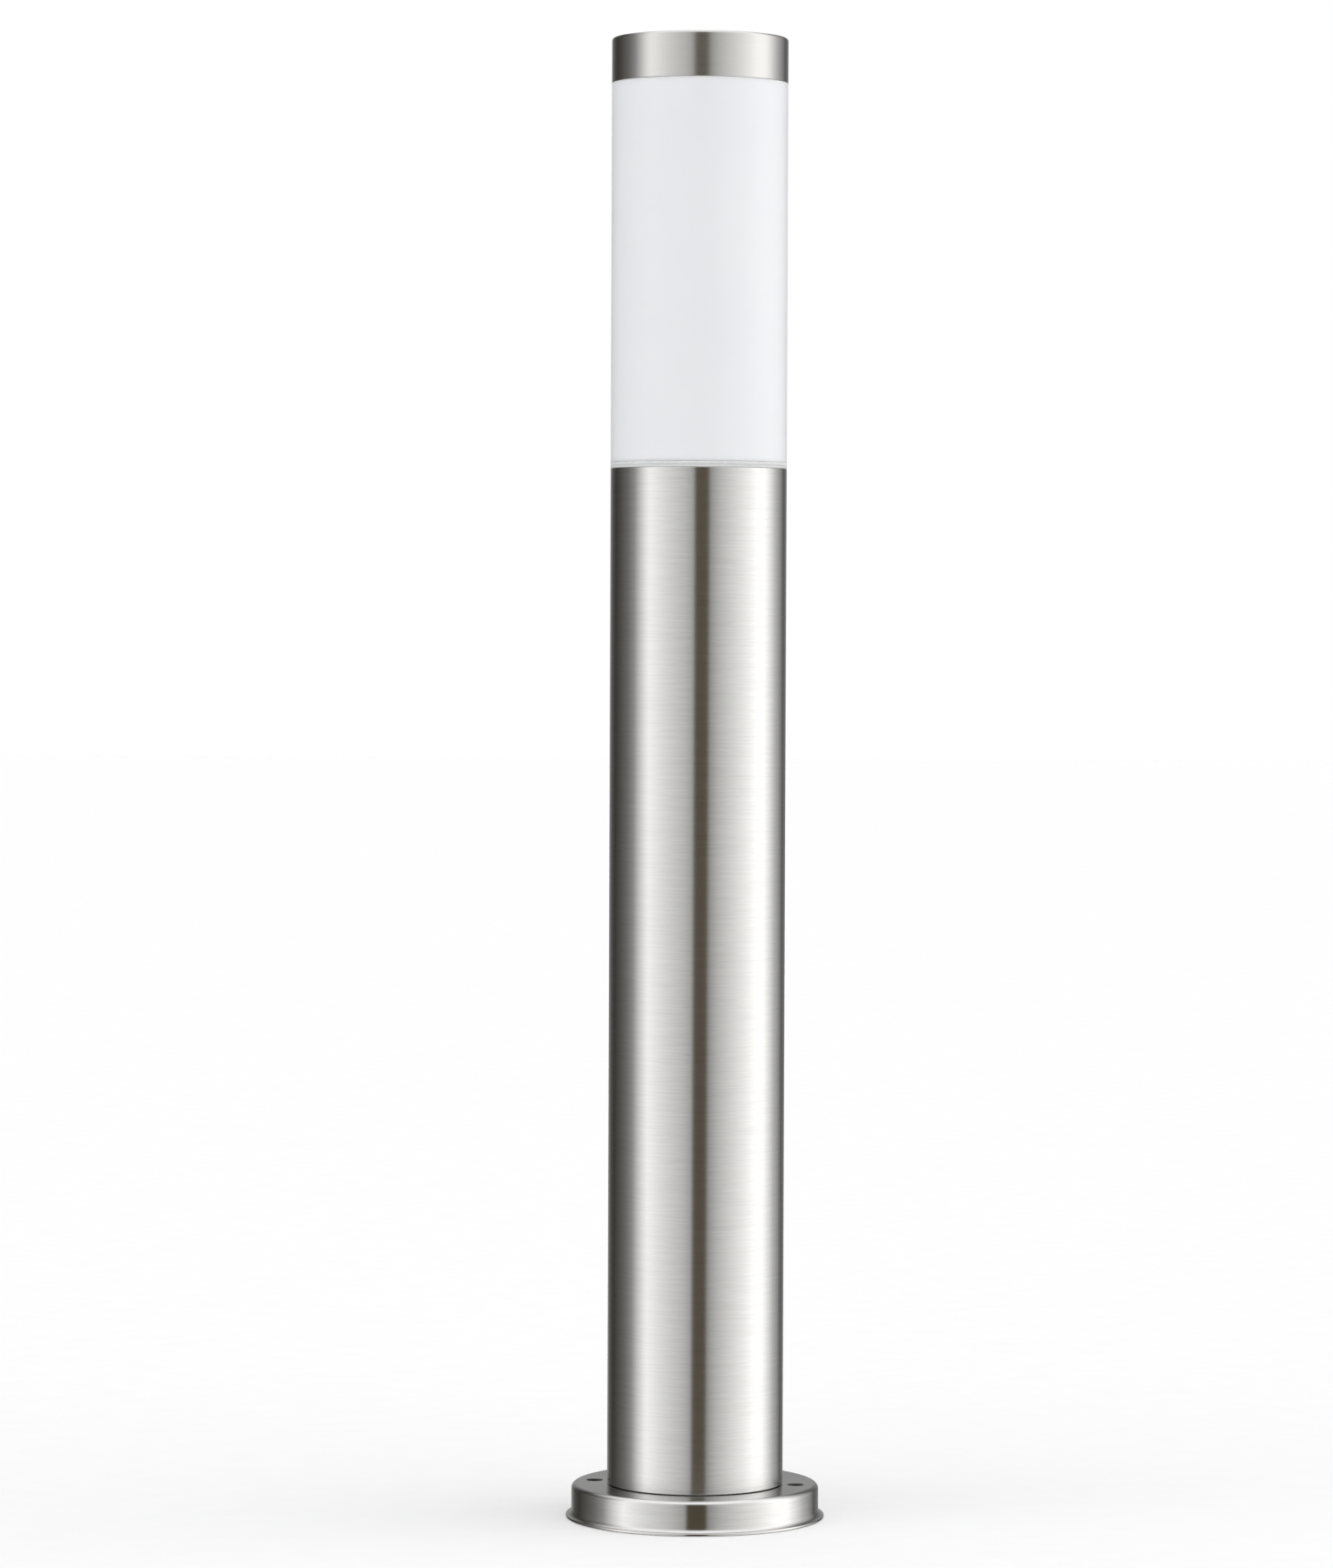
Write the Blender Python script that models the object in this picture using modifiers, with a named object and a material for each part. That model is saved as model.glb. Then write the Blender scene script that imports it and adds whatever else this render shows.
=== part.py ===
"""Bollard light: a brushed stainless post on a drawn base flange, with an opal diffuser head.

Run it with blender --background --python part.py, or from Blender's text editor.
Metres, +Z up. The origin is on the ground, on the post's axis.

How it is held together: two threaded rods inside the post pull the lamp carrier at the top and the
base plate at the bottom towards each other, with the tube and the base flange clamped between them.
The head hooks into the carrier with three bayonet lugs.
"""

import math

import bmesh
import bpy
from mathutils import Vector

MM = 0.001
GAP = 0.3 * MM  # between pieces that touch
LARGE_STEPS = 48  # sides of the tube, the flange and the head
SMALL_STEPS = 24  # sides of the lamp and its holder
TINY_STEPS = 12  # sides of screws, washers and holes

# Driving dimensions of what shows outside.
TUBE_R = 38.1 * MM
TUBE_WALL = 1.2 * MM
FLANGE_HEIGHT = 14.4 * MM
TUBE_LENGTH = 440.0 * MM
JOINT_RING = 2.6 * MM  # the carrier's rim and the head's seal, one on the other
DIFFUSER_LENGTH = 163.6 * MM
CAP_HEIGHT = 19.4 * MM

TUBE_TOP = FLANGE_HEIGHT + TUBE_LENGTH
SHOULDER = TUBE_TOP + JOINT_RING  # the diffuser's lower shoulder
CAP_EDGE = SHOULDER + DIFFUSER_LENGTH
TOP = CAP_EDGE + CAP_HEIGHT

# Base flange: sheet steel drawn to a shallow cup, with a collar that centres the tube.
FLANGE_SHEET = 1.0 * MM
FLANGE_WALL_R = 53.6 * MM
FLANGE_FILLET = 3.5 * MM
FLANGE_FLARE = 1.6 * MM
FLANGE_UNDER_FLARE = 1.8 * MM
LIP_R = 56.0 * MM
LIP_EDGE = 0.4 * MM
COLLAR_R = TUBE_R - TUBE_WALL - 0.5 * MM
COLLAR_TOP = FLANGE_HEIGHT + 6.0 * MM
FIXING_CIRCLE_R = 44.0 * MM
FIXING_HOLE_R = 3.5 * MM
FIXING_TURN = math.radians(-7.5)  # of the right-hand fixing hole, from +X

# Base plate, clamped under the flange's top.
PLATE_R = 49.6 * MM
PLATE_THICKNESS = 2.5 * MM
PLATE_TOP = FLANGE_HEIGHT - FLANGE_SHEET - GAP
PLATE_BOTTOM = PLATE_TOP - PLATE_THICKNESS
GROMMET_HOLE_R = 11.0 * MM
CABLE_R = 5.0 * MM  # of the supply cable that the grommet takes

# Tie rods and their nuts and washers.
ROD_R = 2.5 * MM
ROD_X = 28.0 * MM
ROD_HOLE_R = 2.8 * MM
ROD_FOOT = 3.4 * MM
NUT_CORNER_R = 4.62 * MM
NUT_HEIGHT = 4.0 * MM
WASHER_R = 5.0 * MM
WASHER_THICKNESS = 1.0 * MM

# Lamp carrier, a moulded cup hung on the tube's top edge.
CARRIER_R = TUBE_R - TUBE_WALL - 0.4 * MM
CARRIER_WALL = 2.0 * MM
CARRIER_RIM = 0.9 * MM
CARRIER_DEPTH = 27.0 * MM
CARRIER_FLOOR = 2.5 * MM
CARRIER_TOP = TUBE_TOP + GAP + CARRIER_RIM
FLOOR_BOTTOM = TUBE_TOP - CARRIER_DEPTH
FLOOR_TOP = FLOOR_BOTTOM + CARRIER_FLOOR
CARRIER_BORE_R = CARRIER_R - CARRIER_WALL

# Bayonet between the diffuser's neck and the carrier.
NECK_R = 32.6 * MM
NECK_WALL = 2.4 * MM
NECK_END = SHOULDER - 15.0 * MM
LUG_R = CARRIER_BORE_R - 0.4 * MM
LUG_BOTTOM = NECK_END + 0.7 * MM
LUG_HEIGHT = 3.4 * MM
LUG_HALF_ANGLE = 14.0
LEDGE_R = NECK_R + 0.4 * MM
LEDGE_BOTTOM = LUG_BOTTOM + LUG_HEIGHT + 0.6 * MM
LEDGE_HEIGHT = 3.5 * MM
LEDGE_START = 22.5
LEDGE_END = 97.5
STOP_START = 77.0
BAYONET_ANGLES = (90.0, 210.0, 330.0)  # of the three lugs
JOINED = 0.6 * MM  # how deep a lug or ledge runs into its wall

# Diffuser and cap.
DIFFUSER_WALL = 2.4 * MM
CAP_SHEET = 0.8 * MM
CAP_FILLET = 1.2 * MM
CAP_NECK_R = TUBE_R - CAP_SHEET - 0.4 * MM
DIFFUSER_END = TOP - 3.0 * MM
STUD_R = 2.0 * MM
STUD_HEAD_R = 5.0 * MM
STUD_LENGTH = 13.0 * MM
CAP_WASHER_R = 7.0 * MM
CAP_WASHER_THICKNESS = 1.4 * MM
CAP_NUT_CORNER_R = 4.04 * MM
CAP_NUT_HEIGHT = 3.2 * MM

# Lampholder: a porcelain body with a threaded shell, for an E27 lamp cap.
HOLDER_BASE = FLOOR_TOP + GAP
HOLDER_HEIGHT = 50.0 * MM
HOLDER_FOOT_R = 22.0 * MM
HOLDER_R = 19.5 * MM
HOLDER_RIM_R = 20.3 * MM
HOLDER_WELL_R = 14.7 * MM
HOLDER_WELL_FLOOR = 12.0 * MM
WIRE_X = 7.0 * MM
HOLDER_SCREW_Y = 9.0 * MM
HOLDER_SCREW_HOLE_R = 2.3 * MM
THREAD_PITCH = 3.629 * MM
THREAD_DEPTH = 1.05 * MM
THREAD_RINGS = 4  # rings of points to a pitch
SHELL_MAJOR_R = 13.6 * MM
SHELL_R = 14.3 * MM
SHELL_BOTTOM = 19.7 * MM  # above the holder's base, as are the next four
SHELL_TOP = 43.7 * MM
CONTACT_TOP = 18.9 * MM
CAP_SHELL_BOTTOM = 26.3 * MM
CAP_SHELL_TOP = 47.2 * MM
LAMP_ROOT_R = 12.1 * MM
LAMP_GLOBE_R = 27.5 * MM
LAMP_BOARD_Z = 75.5 * MM
LAMP_SHOULDER_R = 23.0 * MM
LAMP_SKIN = 1.3 * MM

# Terminal block on its bracket, inside the foot of the post.
BRACKET_SHEET = 1.5 * MM
BRACKET_WIDTH = 18.0 * MM
BRACKET_Y = 20.0 * MM
BRACKET_FOOT = 12.0 * MM
BRACKET_HEIGHT = 44.0 * MM
RIVET_X = 5.0 * MM
RIVET_R = 1.6 * MM
BLOCK = Vector((30.0 * MM, 15.0 * MM, 20.0 * MM))
BLOCK_CENTRE = Vector((0.0, BRACKET_Y - GAP - BLOCK.y / 2, 38.0 * MM))
POLES = {"live": -10.0 * MM, "earth": 0.0, "neutral": 10.0 * MM}
SLEEVE_R = 2.7 * MM
SLEEVE_BORE_R = 1.9 * MM
SLEEVE_LENGTH = 15.0 * MM
CLAMP_SCREW_Z = 5.0 * MM
CLAMP_SCREW_R = 1.2 * MM
CLAMP_WELL_R = 2.3 * MM
BLOCK_SCREW_X = -5.0 * MM
BLOCK_SCREW_HOLE_R = 1.8 * MM

# Earth screw on the base plate, and the leads.
EARTH_X, EARTH_Y = -20.0 * MM, -16.0 * MM
EARTH_HOLE_R = 2.3 * MM
EARTH_LUG_THICKNESS = 0.8 * MM
WIRE_R = 1.3 * MM
LONG_WIRE_STEP = 10.0 * MM  # between a lead's points
SHORT_WIRE_STEP = 4.0 * MM

COLOURS = {
    # name: colour, roughness, metallic
    "brushed_steel": ((0.62, 0.61, 0.59), 0.28, 1.0),
    "zinc_steel": ((0.55, 0.56, 0.57), 0.40, 1.0),
    "brass": ((0.72, 0.55, 0.26), 0.35, 1.0),
    "nickel": ((0.66, 0.64, 0.58), 0.25, 1.0),
    "opal_plastic": ((0.86, 0.87, 0.89), 0.35, 0.0),
    "white_plastic": ((0.80, 0.80, 0.80), 0.45, 0.0),
    "silicone": ((0.72, 0.72, 0.73), 0.55, 0.0),
    "black_rubber": ((0.03, 0.03, 0.03), 0.70, 0.0),
    "porcelain": ((0.86, 0.85, 0.81), 0.20, 0.0),
    "black_glass": ((0.02, 0.02, 0.02), 0.10, 0.0),
    "brown_lead": ((0.20, 0.09, 0.04), 0.50, 0.0),
    "blue_lead": ((0.05, 0.16, 0.45), 0.50, 0.0),
    "green_lead": ((0.10, 0.42, 0.10), 0.50, 0.0),
}


# ---- helpers ---------------------------------------------------------------------------------


def clear_scene():
    for obj in list(bpy.data.objects):
        bpy.data.objects.remove(obj, do_unlink=True)


def add_collection(name):
    collection = bpy.data.collections.new(name)
    bpy.context.scene.collection.children.link(collection)
    return collection


def material(name):
    found = bpy.data.materials.get(name)
    if found:
        return found
    colour, roughness, metallic = COLOURS[name]
    made = bpy.data.materials.new(name)
    made.use_nodes = True
    made.diffuse_color = (*colour, 1.0)
    shader = made.node_tree.nodes["Principled BSDF"]
    shader.inputs["Base Color"].default_value = (*colour, 1.0)
    shader.inputs["Roughness"].default_value = roughness
    shader.inputs["Metallic"].default_value = metallic
    return made


def add_part(name, data, colour, location=(0.0, 0.0, 0.0), rotation=(0.0, 0.0, 0.0), parent=None):
    obj = bpy.data.objects.new(name, data)
    obj.location = location
    obj.rotation_euler = rotation
    obj.parent = parent
    data.materials.append(material(colour))
    parts.objects.link(obj)
    return obj


def add_axis(name, location=(0.0, 0.0, 0.0)):
    """An empty that pieces are parented to. It stands on the axis that its pieces move about."""
    empty = bpy.data.objects.new(name, None)
    empty.location = location
    parts.objects.link(empty)
    return empty


def arc(centre_r, centre_z, radius, start, end, steps=4):
    """Points of an outline's round stretch, from one angle to another in degrees."""
    angles = [math.radians(start + (end - start) * i / steps) for i in range(steps + 1)]
    return [(centre_r + radius * math.cos(a), centre_z + radius * math.sin(a)) for a in angles]


def turned(name, outline, colour, z=0.0, steps=LARGE_STEPS, x=0.0, y=0.0, parent=None):
    """A turned piece. Its outline of (r, z) points closes on itself, or starts and ends on the axis."""
    around = sum(r0 * z1 - r1 * z0 for (r0, z0), (r1, z1) in zip(outline, outline[1:] + outline[:1]))
    if around > 0:  # a Screw needs its outer side to run downwards
        outline = outline[::-1]
    solid = outline[0][0] == 0.0 and outline[-1][0] == 0.0
    count = len(outline)
    mesh = bpy.data.meshes.new(name)
    edges = [(i, (i + 1) % count) for i in range(count - 1 if solid else count)]
    mesh.from_pydata([(r, 0.0, height) for r, height in outline], edges, [])
    obj = add_part(name, mesh, colour, (x, y, z), parent=parent)
    screw = obj.modifiers.new("Turn", "SCREW")
    screw.steps = screw.render_steps = steps
    screw.use_merge_vertices = True
    screw.merge_threshold = 0.00001
    return obj


def circle(radius, steps=TINY_STEPS, x=0.0, y=0.0):
    angles = [math.tau * i / steps for i in range(steps)]
    return [(x + radius * math.cos(a), y + radius * math.sin(a)) for a in angles]


def plate(name, outlines, thickness, colour, location, rotation=(0.0, 0.0, 0.0), parent=None):
    """A flat piece, centred on its thickness. The first outline is its edge, the others are holes."""
    curve = bpy.data.curves.new(name, "CURVE")
    curve.dimensions = "2D"
    curve.fill_mode = "BOTH"
    curve.extrude = thickness / 2
    for outline in outlines:
        spline = curve.splines.new("POLY")
        spline.points.add(len(outline) - 1)
        for point, (x, y) in zip(spline.points, outline):
            point.co = (x, y, 0.0, 1.0)
        spline.use_cyclic_u = True
    return add_part(name, curve, colour, location, rotation, parent)


def as_mesh(obj):
    """The piece with its curve made a mesh, so that it can be cut or joined."""
    bpy.context.view_layer.update()
    graph = bpy.context.evaluated_depsgraph_get()
    mesh = bpy.data.meshes.new_from_object(obj.evaluated_get(graph))
    edit = bmesh.new()
    edit.from_mesh(mesh)
    bmesh.ops.remove_doubles(edit, verts=edit.verts, dist=0.00001)
    bmesh.ops.recalc_face_normals(edit, faces=edit.faces)
    edit.to_mesh(mesh)
    edit.free()
    name, matrix, parent = obj.name, obj.matrix_world.copy(), obj.parent
    bpy.data.objects.remove(obj)
    made = bpy.data.objects.new(name, mesh)
    parts.objects.link(made)
    made.parent = parent
    made.matrix_world = matrix
    return made


def add_helper(name, mesh):
    helper = bpy.data.objects.new(name, mesh)
    helper.display_type = "WIRE"
    helper.hide_render = True
    cutters.objects.link(helper)
    return helper


def boolean(target, helper, operation):
    modifier = target.modifiers.new(helper.name, "BOOLEAN")
    modifier.solver = "EXACT"
    modifier.operation = operation
    modifier.object = helper


def bore(targets, radius, start, end, steps=TINY_STEPS):
    """Cuts a round hole from one world point to another, through every target."""
    start, end = Vector(start), Vector(end)
    edit = bmesh.new()
    bmesh.ops.create_cone(
        edit, cap_ends=True, segments=steps, radius1=radius, radius2=radius, depth=(end - start).length
    )
    mesh = bpy.data.meshes.new("bore")
    edit.to_mesh(mesh)
    edit.free()
    cutter = add_helper("bore", mesh)
    cutter.location = (start + end) / 2
    cutter.rotation_euler = (end - start).to_track_quat("Z", "Y").to_euler()
    for target in targets:
        boolean(target, cutter, "DIFFERENCE")


def box_mesh(name, size):
    edit = bmesh.new()
    bmesh.ops.create_cube(edit, size=1.0)
    bmesh.ops.scale(edit, vec=size, verts=edit.verts)
    mesh = bpy.data.meshes.new(name)
    edit.to_mesh(mesh)
    edit.free()
    return mesh


def slot(target, size, location, rotation=(0.0, 0.0, 0.0)):
    """Cuts a straight slot, such as a screw head's."""
    cutter = add_helper("slot", box_mesh("slot", size))
    cutter.location = location
    cutter.rotation_euler = rotation
    boolean(target, cutter, "DIFFERENCE")


def arc_rib(target, inner, outer, bottom, height, start, end):
    """Joins a rib of an arc's length, from one angle to another in degrees, to a turned piece."""
    steps = max(2, round((end - start) / 7.5))
    section = [(inner, bottom), (outer, bottom), (outer, bottom + height), (inner, bottom + height)]
    edit = bmesh.new()
    corners = []
    for i in range(steps + 1):
        a = math.radians(start + (end - start) * i / steps)
        corners.append([edit.verts.new((r * math.cos(a), r * math.sin(a), z)) for r, z in section])
    for near, far in zip(corners, corners[1:]):
        for i in range(4):
            edit.faces.new((near[i], near[(i + 1) % 4], far[(i + 1) % 4], far[i]))
    edit.faces.new(corners[0])
    edit.faces.new(corners[-1])
    bmesh.ops.recalc_face_normals(edit, faces=edit.faces)
    mesh = bpy.data.meshes.new("rib")
    edit.to_mesh(mesh)
    edit.free()
    boolean(target, add_helper("rib", mesh), "UNION")


def smooth_route(points, step):
    """Points about a step apart on a Catmull-Rom curve through the route's own points."""
    route = [Vector(p) for p in points]
    route = [2 * route[0] - route[1]] + route + [2 * route[-1] - route[-2]]
    made = []
    for a, b, c, d in zip(route, route[1:], route[2:], route[3:]):
        count = max(1, round((c - b).length / step))
        for i in range(count):
            t = i / count
            curl = 2 * a - 5 * b + 4 * c - d
            twist = 3 * b - a - 3 * c + d
            made.append(0.5 * (2 * b + (c - a) * t + curl * t**2 + twist * t**3))
    return made + [route[-2]]


def lead(name, points, colour, step=LONG_WIRE_STEP):
    """An insulated lead along a route, with points about a step apart."""
    curve = bpy.data.curves.new(name, "CURVE")
    curve.dimensions = "3D"
    curve.bevel_depth = WIRE_R
    curve.bevel_resolution = 2
    curve.use_fill_caps = True
    spline = curve.splines.new("POLY")
    route = smooth_route(points, step)
    spline.points.add(len(route) - 1)
    for point, place in zip(spline.points, route):
        point.co = (*place, 1.0)
    return add_part(name, curve, colour)


def screw_thread(name, bottom, top, radius_at, plain_r, colour, parent=None, z=0.0):
    """A sleeve with a rolled screw thread, radius_at(phase, fade), on one side and a plain other side."""
    rings = round((top - bottom) / THREAD_PITCH * THREAD_RINGS)
    edit = bmesh.new()
    rows = []
    for i in range(rings + 1):
        height = bottom + (top - bottom) * i / rings
        fade = min(1.0, min(i, rings - i) / THREAD_RINGS)
        row = []
        for k in range(SMALL_STEPS):
            angle = math.tau * k / SMALL_STEPS
            r = radius_at(math.tau * height / THREAD_PITCH - angle, fade)
            row.append(edit.verts.new((r * math.cos(angle), r * math.sin(angle), height)))
        rows.append(row)
    for height in (top, bottom):
        rows.append([edit.verts.new((x, y, height)) for x, y in circle(plain_r, SMALL_STEPS)])
    for near, far in zip(rows, rows[1:] + rows[:1]):
        for k in range(SMALL_STEPS):
            j = (k + 1) % SMALL_STEPS
            edit.faces.new((near[k], near[j], far[j], far[k]))
    bmesh.ops.recalc_face_normals(edit, faces=edit.faces)
    mesh = bpy.data.meshes.new(name)
    edit.to_mesh(mesh)
    edit.free()
    return add_part(name, mesh, colour, (0.0, 0.0, z), parent=parent)


def pan_screw(
    name, head_r, head_height, shank_r, length, colour, location, rotation=(0.0, 0.0, 0.0), parent=None
):
    """A slotted screw. Its origin is under its head, and its shank points down."""
    outline = [
        (0.0, head_height),
        (head_r * 0.7, head_height),
        (head_r, head_height * 0.55),
        (head_r, 0.0),
        (shank_r, 0.0),
        (shank_r, -length),
        (0.0, -length),
    ]
    screw = turned(name, outline, colour, steps=TINY_STEPS - 2, parent=parent)
    screw.location = location
    screw.rotation_euler = rotation
    cut = add_helper("driver_slot", box_mesh("driver_slot", (head_r * 3, head_r * 0.28, head_height)))
    cut.parent = screw
    cut.location = (0.0, 0.0, head_height * 1.05)
    boolean(screw, cut, "DIFFERENCE")
    return screw


def nut(name, corner_r, height, bore_r, colour, x, y, z, parent=None):
    """A hexagon nut whose underside is at z."""
    outlines = [circle(corner_r, 6), circle(bore_r)]
    return plate(name, outlines, height, colour, (x, y, z + height / 2), parent=parent)


def washer(name, radius, bore_r, thickness, colour, x, y, z, parent=None):
    outline = [(bore_r, 0.0), (radius, 0.0), (radius, thickness), (bore_r, thickness)]
    return turned(name, outline, colour, z, TINY_STEPS + 4, x, y, parent)


def shade_parts():
    """Applies each piece's modifiers and shades it smooth between its sharp edges."""
    bpy.context.view_layer.update()
    graph = bpy.context.evaluated_depsgraph_get()
    meshes = [obj for obj in parts.objects if obj.type == "MESH"]
    finished = [bpy.data.meshes.new_from_object(obj.evaluated_get(graph)) for obj in meshes]
    for obj, mesh in zip(meshes, finished):
        obj.modifiers.clear()
        obj.data = mesh
        mesh.shade_smooth()
        mesh.set_sharp_from_angle(angle=math.radians(35.0))


# ---- base ------------------------------------------------------------------------------------


def fixing_points():
    """(x, y) of the two fixing holes, on opposite sides of the post."""
    for turn in (FIXING_TURN, FIXING_TURN + math.pi):
        yield FIXING_CIRCLE_R * math.cos(turn), FIXING_CIRCLE_R * math.sin(turn)


def base_flange():
    fillet_r, fillet_z = FLANGE_WALL_R - FLANGE_FILLET, FLANGE_HEIGHT - FLANGE_FILLET
    outline = [(COLLAR_R - FLANGE_SHEET, COLLAR_TOP), (COLLAR_R, COLLAR_TOP), (COLLAR_R, FLANGE_HEIGHT)]
    outline += arc(fillet_r, fillet_z, FLANGE_FILLET, 90, 0, 4)
    outline += arc(FLANGE_WALL_R + FLANGE_FLARE, FLANGE_SHEET + FLANGE_FLARE, FLANGE_FLARE, 180, 270, 3)
    outline += [(LIP_R - LIP_EDGE, FLANGE_SHEET), (LIP_R, FLANGE_SHEET / 2), (LIP_R - LIP_EDGE, 0.0)]
    under_r = FLANGE_WALL_R - FLANGE_SHEET + FLANGE_UNDER_FLARE
    outline += arc(under_r, FLANGE_UNDER_FLARE, FLANGE_UNDER_FLARE, 270, 180, 2)
    outline += arc(fillet_r, fillet_z, FLANGE_FILLET - FLANGE_SHEET, 0, 90, 2)
    outline += [(COLLAR_R - FLANGE_SHEET, FLANGE_HEIGHT - FLANGE_SHEET)]
    flange = turned("base_flange", outline, "brushed_steel")
    for x, y in fixing_points():
        bore([flange], FIXING_HOLE_R, (x, y, 0.5 * FLANGE_HEIGHT), (x, y, 1.5 * FLANGE_HEIGHT), 16)


def base_plate():
    holes = [circle(FIXING_HOLE_R, 16, x, y) for x, y in fixing_points()]
    holes += [circle(ROD_HOLE_R, TINY_STEPS, side * ROD_X) for side in (-1, 1)]
    holes += [circle(RIVET_R + GAP, TINY_STEPS, side * RIVET_X, rivet_y()) for side in (-1, 1)]
    holes += [circle(EARTH_HOLE_R, TINY_STEPS, EARTH_X, EARTH_Y)]
    holes += [circle(GROMMET_HOLE_R, SMALL_STEPS)]
    outlines = [circle(PLATE_R, LARGE_STEPS)] + holes
    middle = PLATE_BOTTOM + PLATE_THICKNESS / 2
    plate("base_plate", outlines, PLATE_THICKNESS, "zinc_steel", (0.0, 0.0, middle))


def cable_grommet():
    lip, groove = GROMMET_HOLE_R + 2.5 * MM, GROMMET_HOLE_R - GAP
    low, high = PLATE_BOTTOM - GAP, PLATE_TOP + GAP
    outline = [
        (CABLE_R, low - 2.0 * MM),
        (lip - 0.8 * MM, low - 2.0 * MM),
        (lip, low - 1.2 * MM),
        (lip, low),
        (groove, low),
        (groove, high),
        (lip, high),
        (lip - 1.0 * MM, high + 1.6 * MM),
        (CABLE_R + 2.6 * MM, high + 2.4 * MM),
        (CABLE_R + 1.4 * MM, high + 8.0 * MM),
        (CABLE_R, high + 8.0 * MM),
    ]
    turned("cable_grommet", outline, "black_rubber", steps=SMALL_STEPS)


def tie_rods():
    """Each rod with a nut and a washer at its foot, and another pair on the carrier's floor."""
    washer_top = PLATE_BOTTOM - GAP
    nut_top = washer_top - WASHER_THICKNESS - GAP
    upper_washer = FLOOR_TOP + GAP
    upper_nut = upper_washer + WASHER_THICKNESS + GAP
    rod_top = upper_nut + NUT_HEIGHT + 2.0 * MM
    rod = [(0.0, rod_top), (ROD_R, rod_top), (ROD_R, ROD_FOOT), (0.0, ROD_FOOT)]
    for side, x in (("left", -ROD_X), ("right", ROD_X)):
        turned(f"tie_rod_{side}", rod, "zinc_steel", steps=TINY_STEPS, x=x)
        nut(
            f"base_nut_{side}", NUT_CORNER_R, NUT_HEIGHT, ROD_HOLE_R, "zinc_steel",
            x, 0, nut_top - NUT_HEIGHT,
        )
        washer(
            f"base_washer_{side}", WASHER_R, ROD_HOLE_R, WASHER_THICKNESS, "zinc_steel",
            x, 0, washer_top - WASHER_THICKNESS,
        )
        nut(f"carrier_nut_{side}", NUT_CORNER_R, NUT_HEIGHT, ROD_HOLE_R, "zinc_steel", x, 0, upper_nut)
        washer(
            f"carrier_washer_{side}", WASHER_R, ROD_HOLE_R, WASHER_THICKNESS, "zinc_steel",
            x, 0, upper_washer,
        )


def earth_point():
    """The earth screw, its toothed washer and the lug that the earth lead is crimped in."""
    washer_z = PLATE_TOP + GAP
    lug_z = washer_z + 0.8 * MM + GAP
    head_z = lug_z + EARTH_LUG_THICKNESS + GAP
    washer("earth_washer", 4.2 * MM, EARTH_HOLE_R, 0.8 * MM, "zinc_steel", EARTH_X, EARTH_Y, washer_z)
    ring = [p for p in circle(4.0 * MM, SMALL_STEPS) if p[0] < 3.6 * MM]
    ring.sort(key=lambda p: math.atan2(p[1], p[0]) % math.tau)
    tongue = [(9.0 * MM, -1.6 * MM), (9.0 * MM, 1.6 * MM)]
    plate(
        "earth_lug", [ring + tongue, circle(EARTH_HOLE_R)], EARTH_LUG_THICKNESS, "brass",
        (EARTH_X, EARTH_Y, lug_z + EARTH_LUG_THICKNESS / 2),
    )
    pan_screw("earth_screw", 3.8 * MM, 2.6 * MM, 2.0 * MM, 9.0 * MM, "brass", (EARTH_X, EARTH_Y, head_z))


# ---- terminal block --------------------------------------------------------------------------


def rivet_y():
    return BRACKET_Y + BRACKET_SHEET + BRACKET_FOOT / 2 + 0.5 * MM


def terminal_bracket():
    """A strip bent to an L: its foot is riveted to the base plate, its leg carries the block."""
    foot_z = PLATE_TOP + GAP
    back = BRACKET_Y + BRACKET_SHEET
    section = [
        (BRACKET_Y, foot_z),
        (back + BRACKET_FOOT, foot_z),
        (back + BRACKET_FOOT, foot_z + BRACKET_SHEET),
        (back, foot_z + BRACKET_SHEET),
        (back, foot_z + BRACKET_HEIGHT),
        (BRACKET_Y, foot_z + BRACKET_HEIGHT),
    ]
    upright = (math.pi / 2, 0.0, math.pi / 2)
    strip = plate("terminal_bracket", [section], BRACKET_WIDTH, "zinc_steel", (0, 0, 0), upright)
    bracket = as_mesh(strip)
    ends = [(BLOCK_SCREW_X, y, BLOCK_CENTRE.z) for y in (BRACKET_Y - 2 * MM, back + 2 * MM)]
    bore([bracket], BLOCK_SCREW_HOLE_R, *ends)
    head_z = foot_z + BRACKET_SHEET + GAP
    tail_z = PLATE_BOTTOM - GAP
    for side, x in (("left", -RIVET_X), ("right", RIVET_X)):
        bore([bracket], RIVET_R + GAP, (x, rivet_y(), foot_z - 1 * MM), (x, rivet_y(), foot_z + 3 * MM))
        head_r = RIVET_R * 1.9
        rivet = [
            (0.0, head_z + 1.2 * MM),
            (head_r * 0.6, head_z + 1.1 * MM),
            (head_r, head_z),
            (RIVET_R, head_z),
            (RIVET_R, tail_z),
            (head_r, tail_z),
            (head_r * 0.8, tail_z - 1.0 * MM),
            (0.0, tail_z - 1.0 * MM),
        ]
        turned(f"bracket_rivet_{side}", rivet, "zinc_steel", steps=TINY_STEPS, x=x, y=rivet_y())


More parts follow.
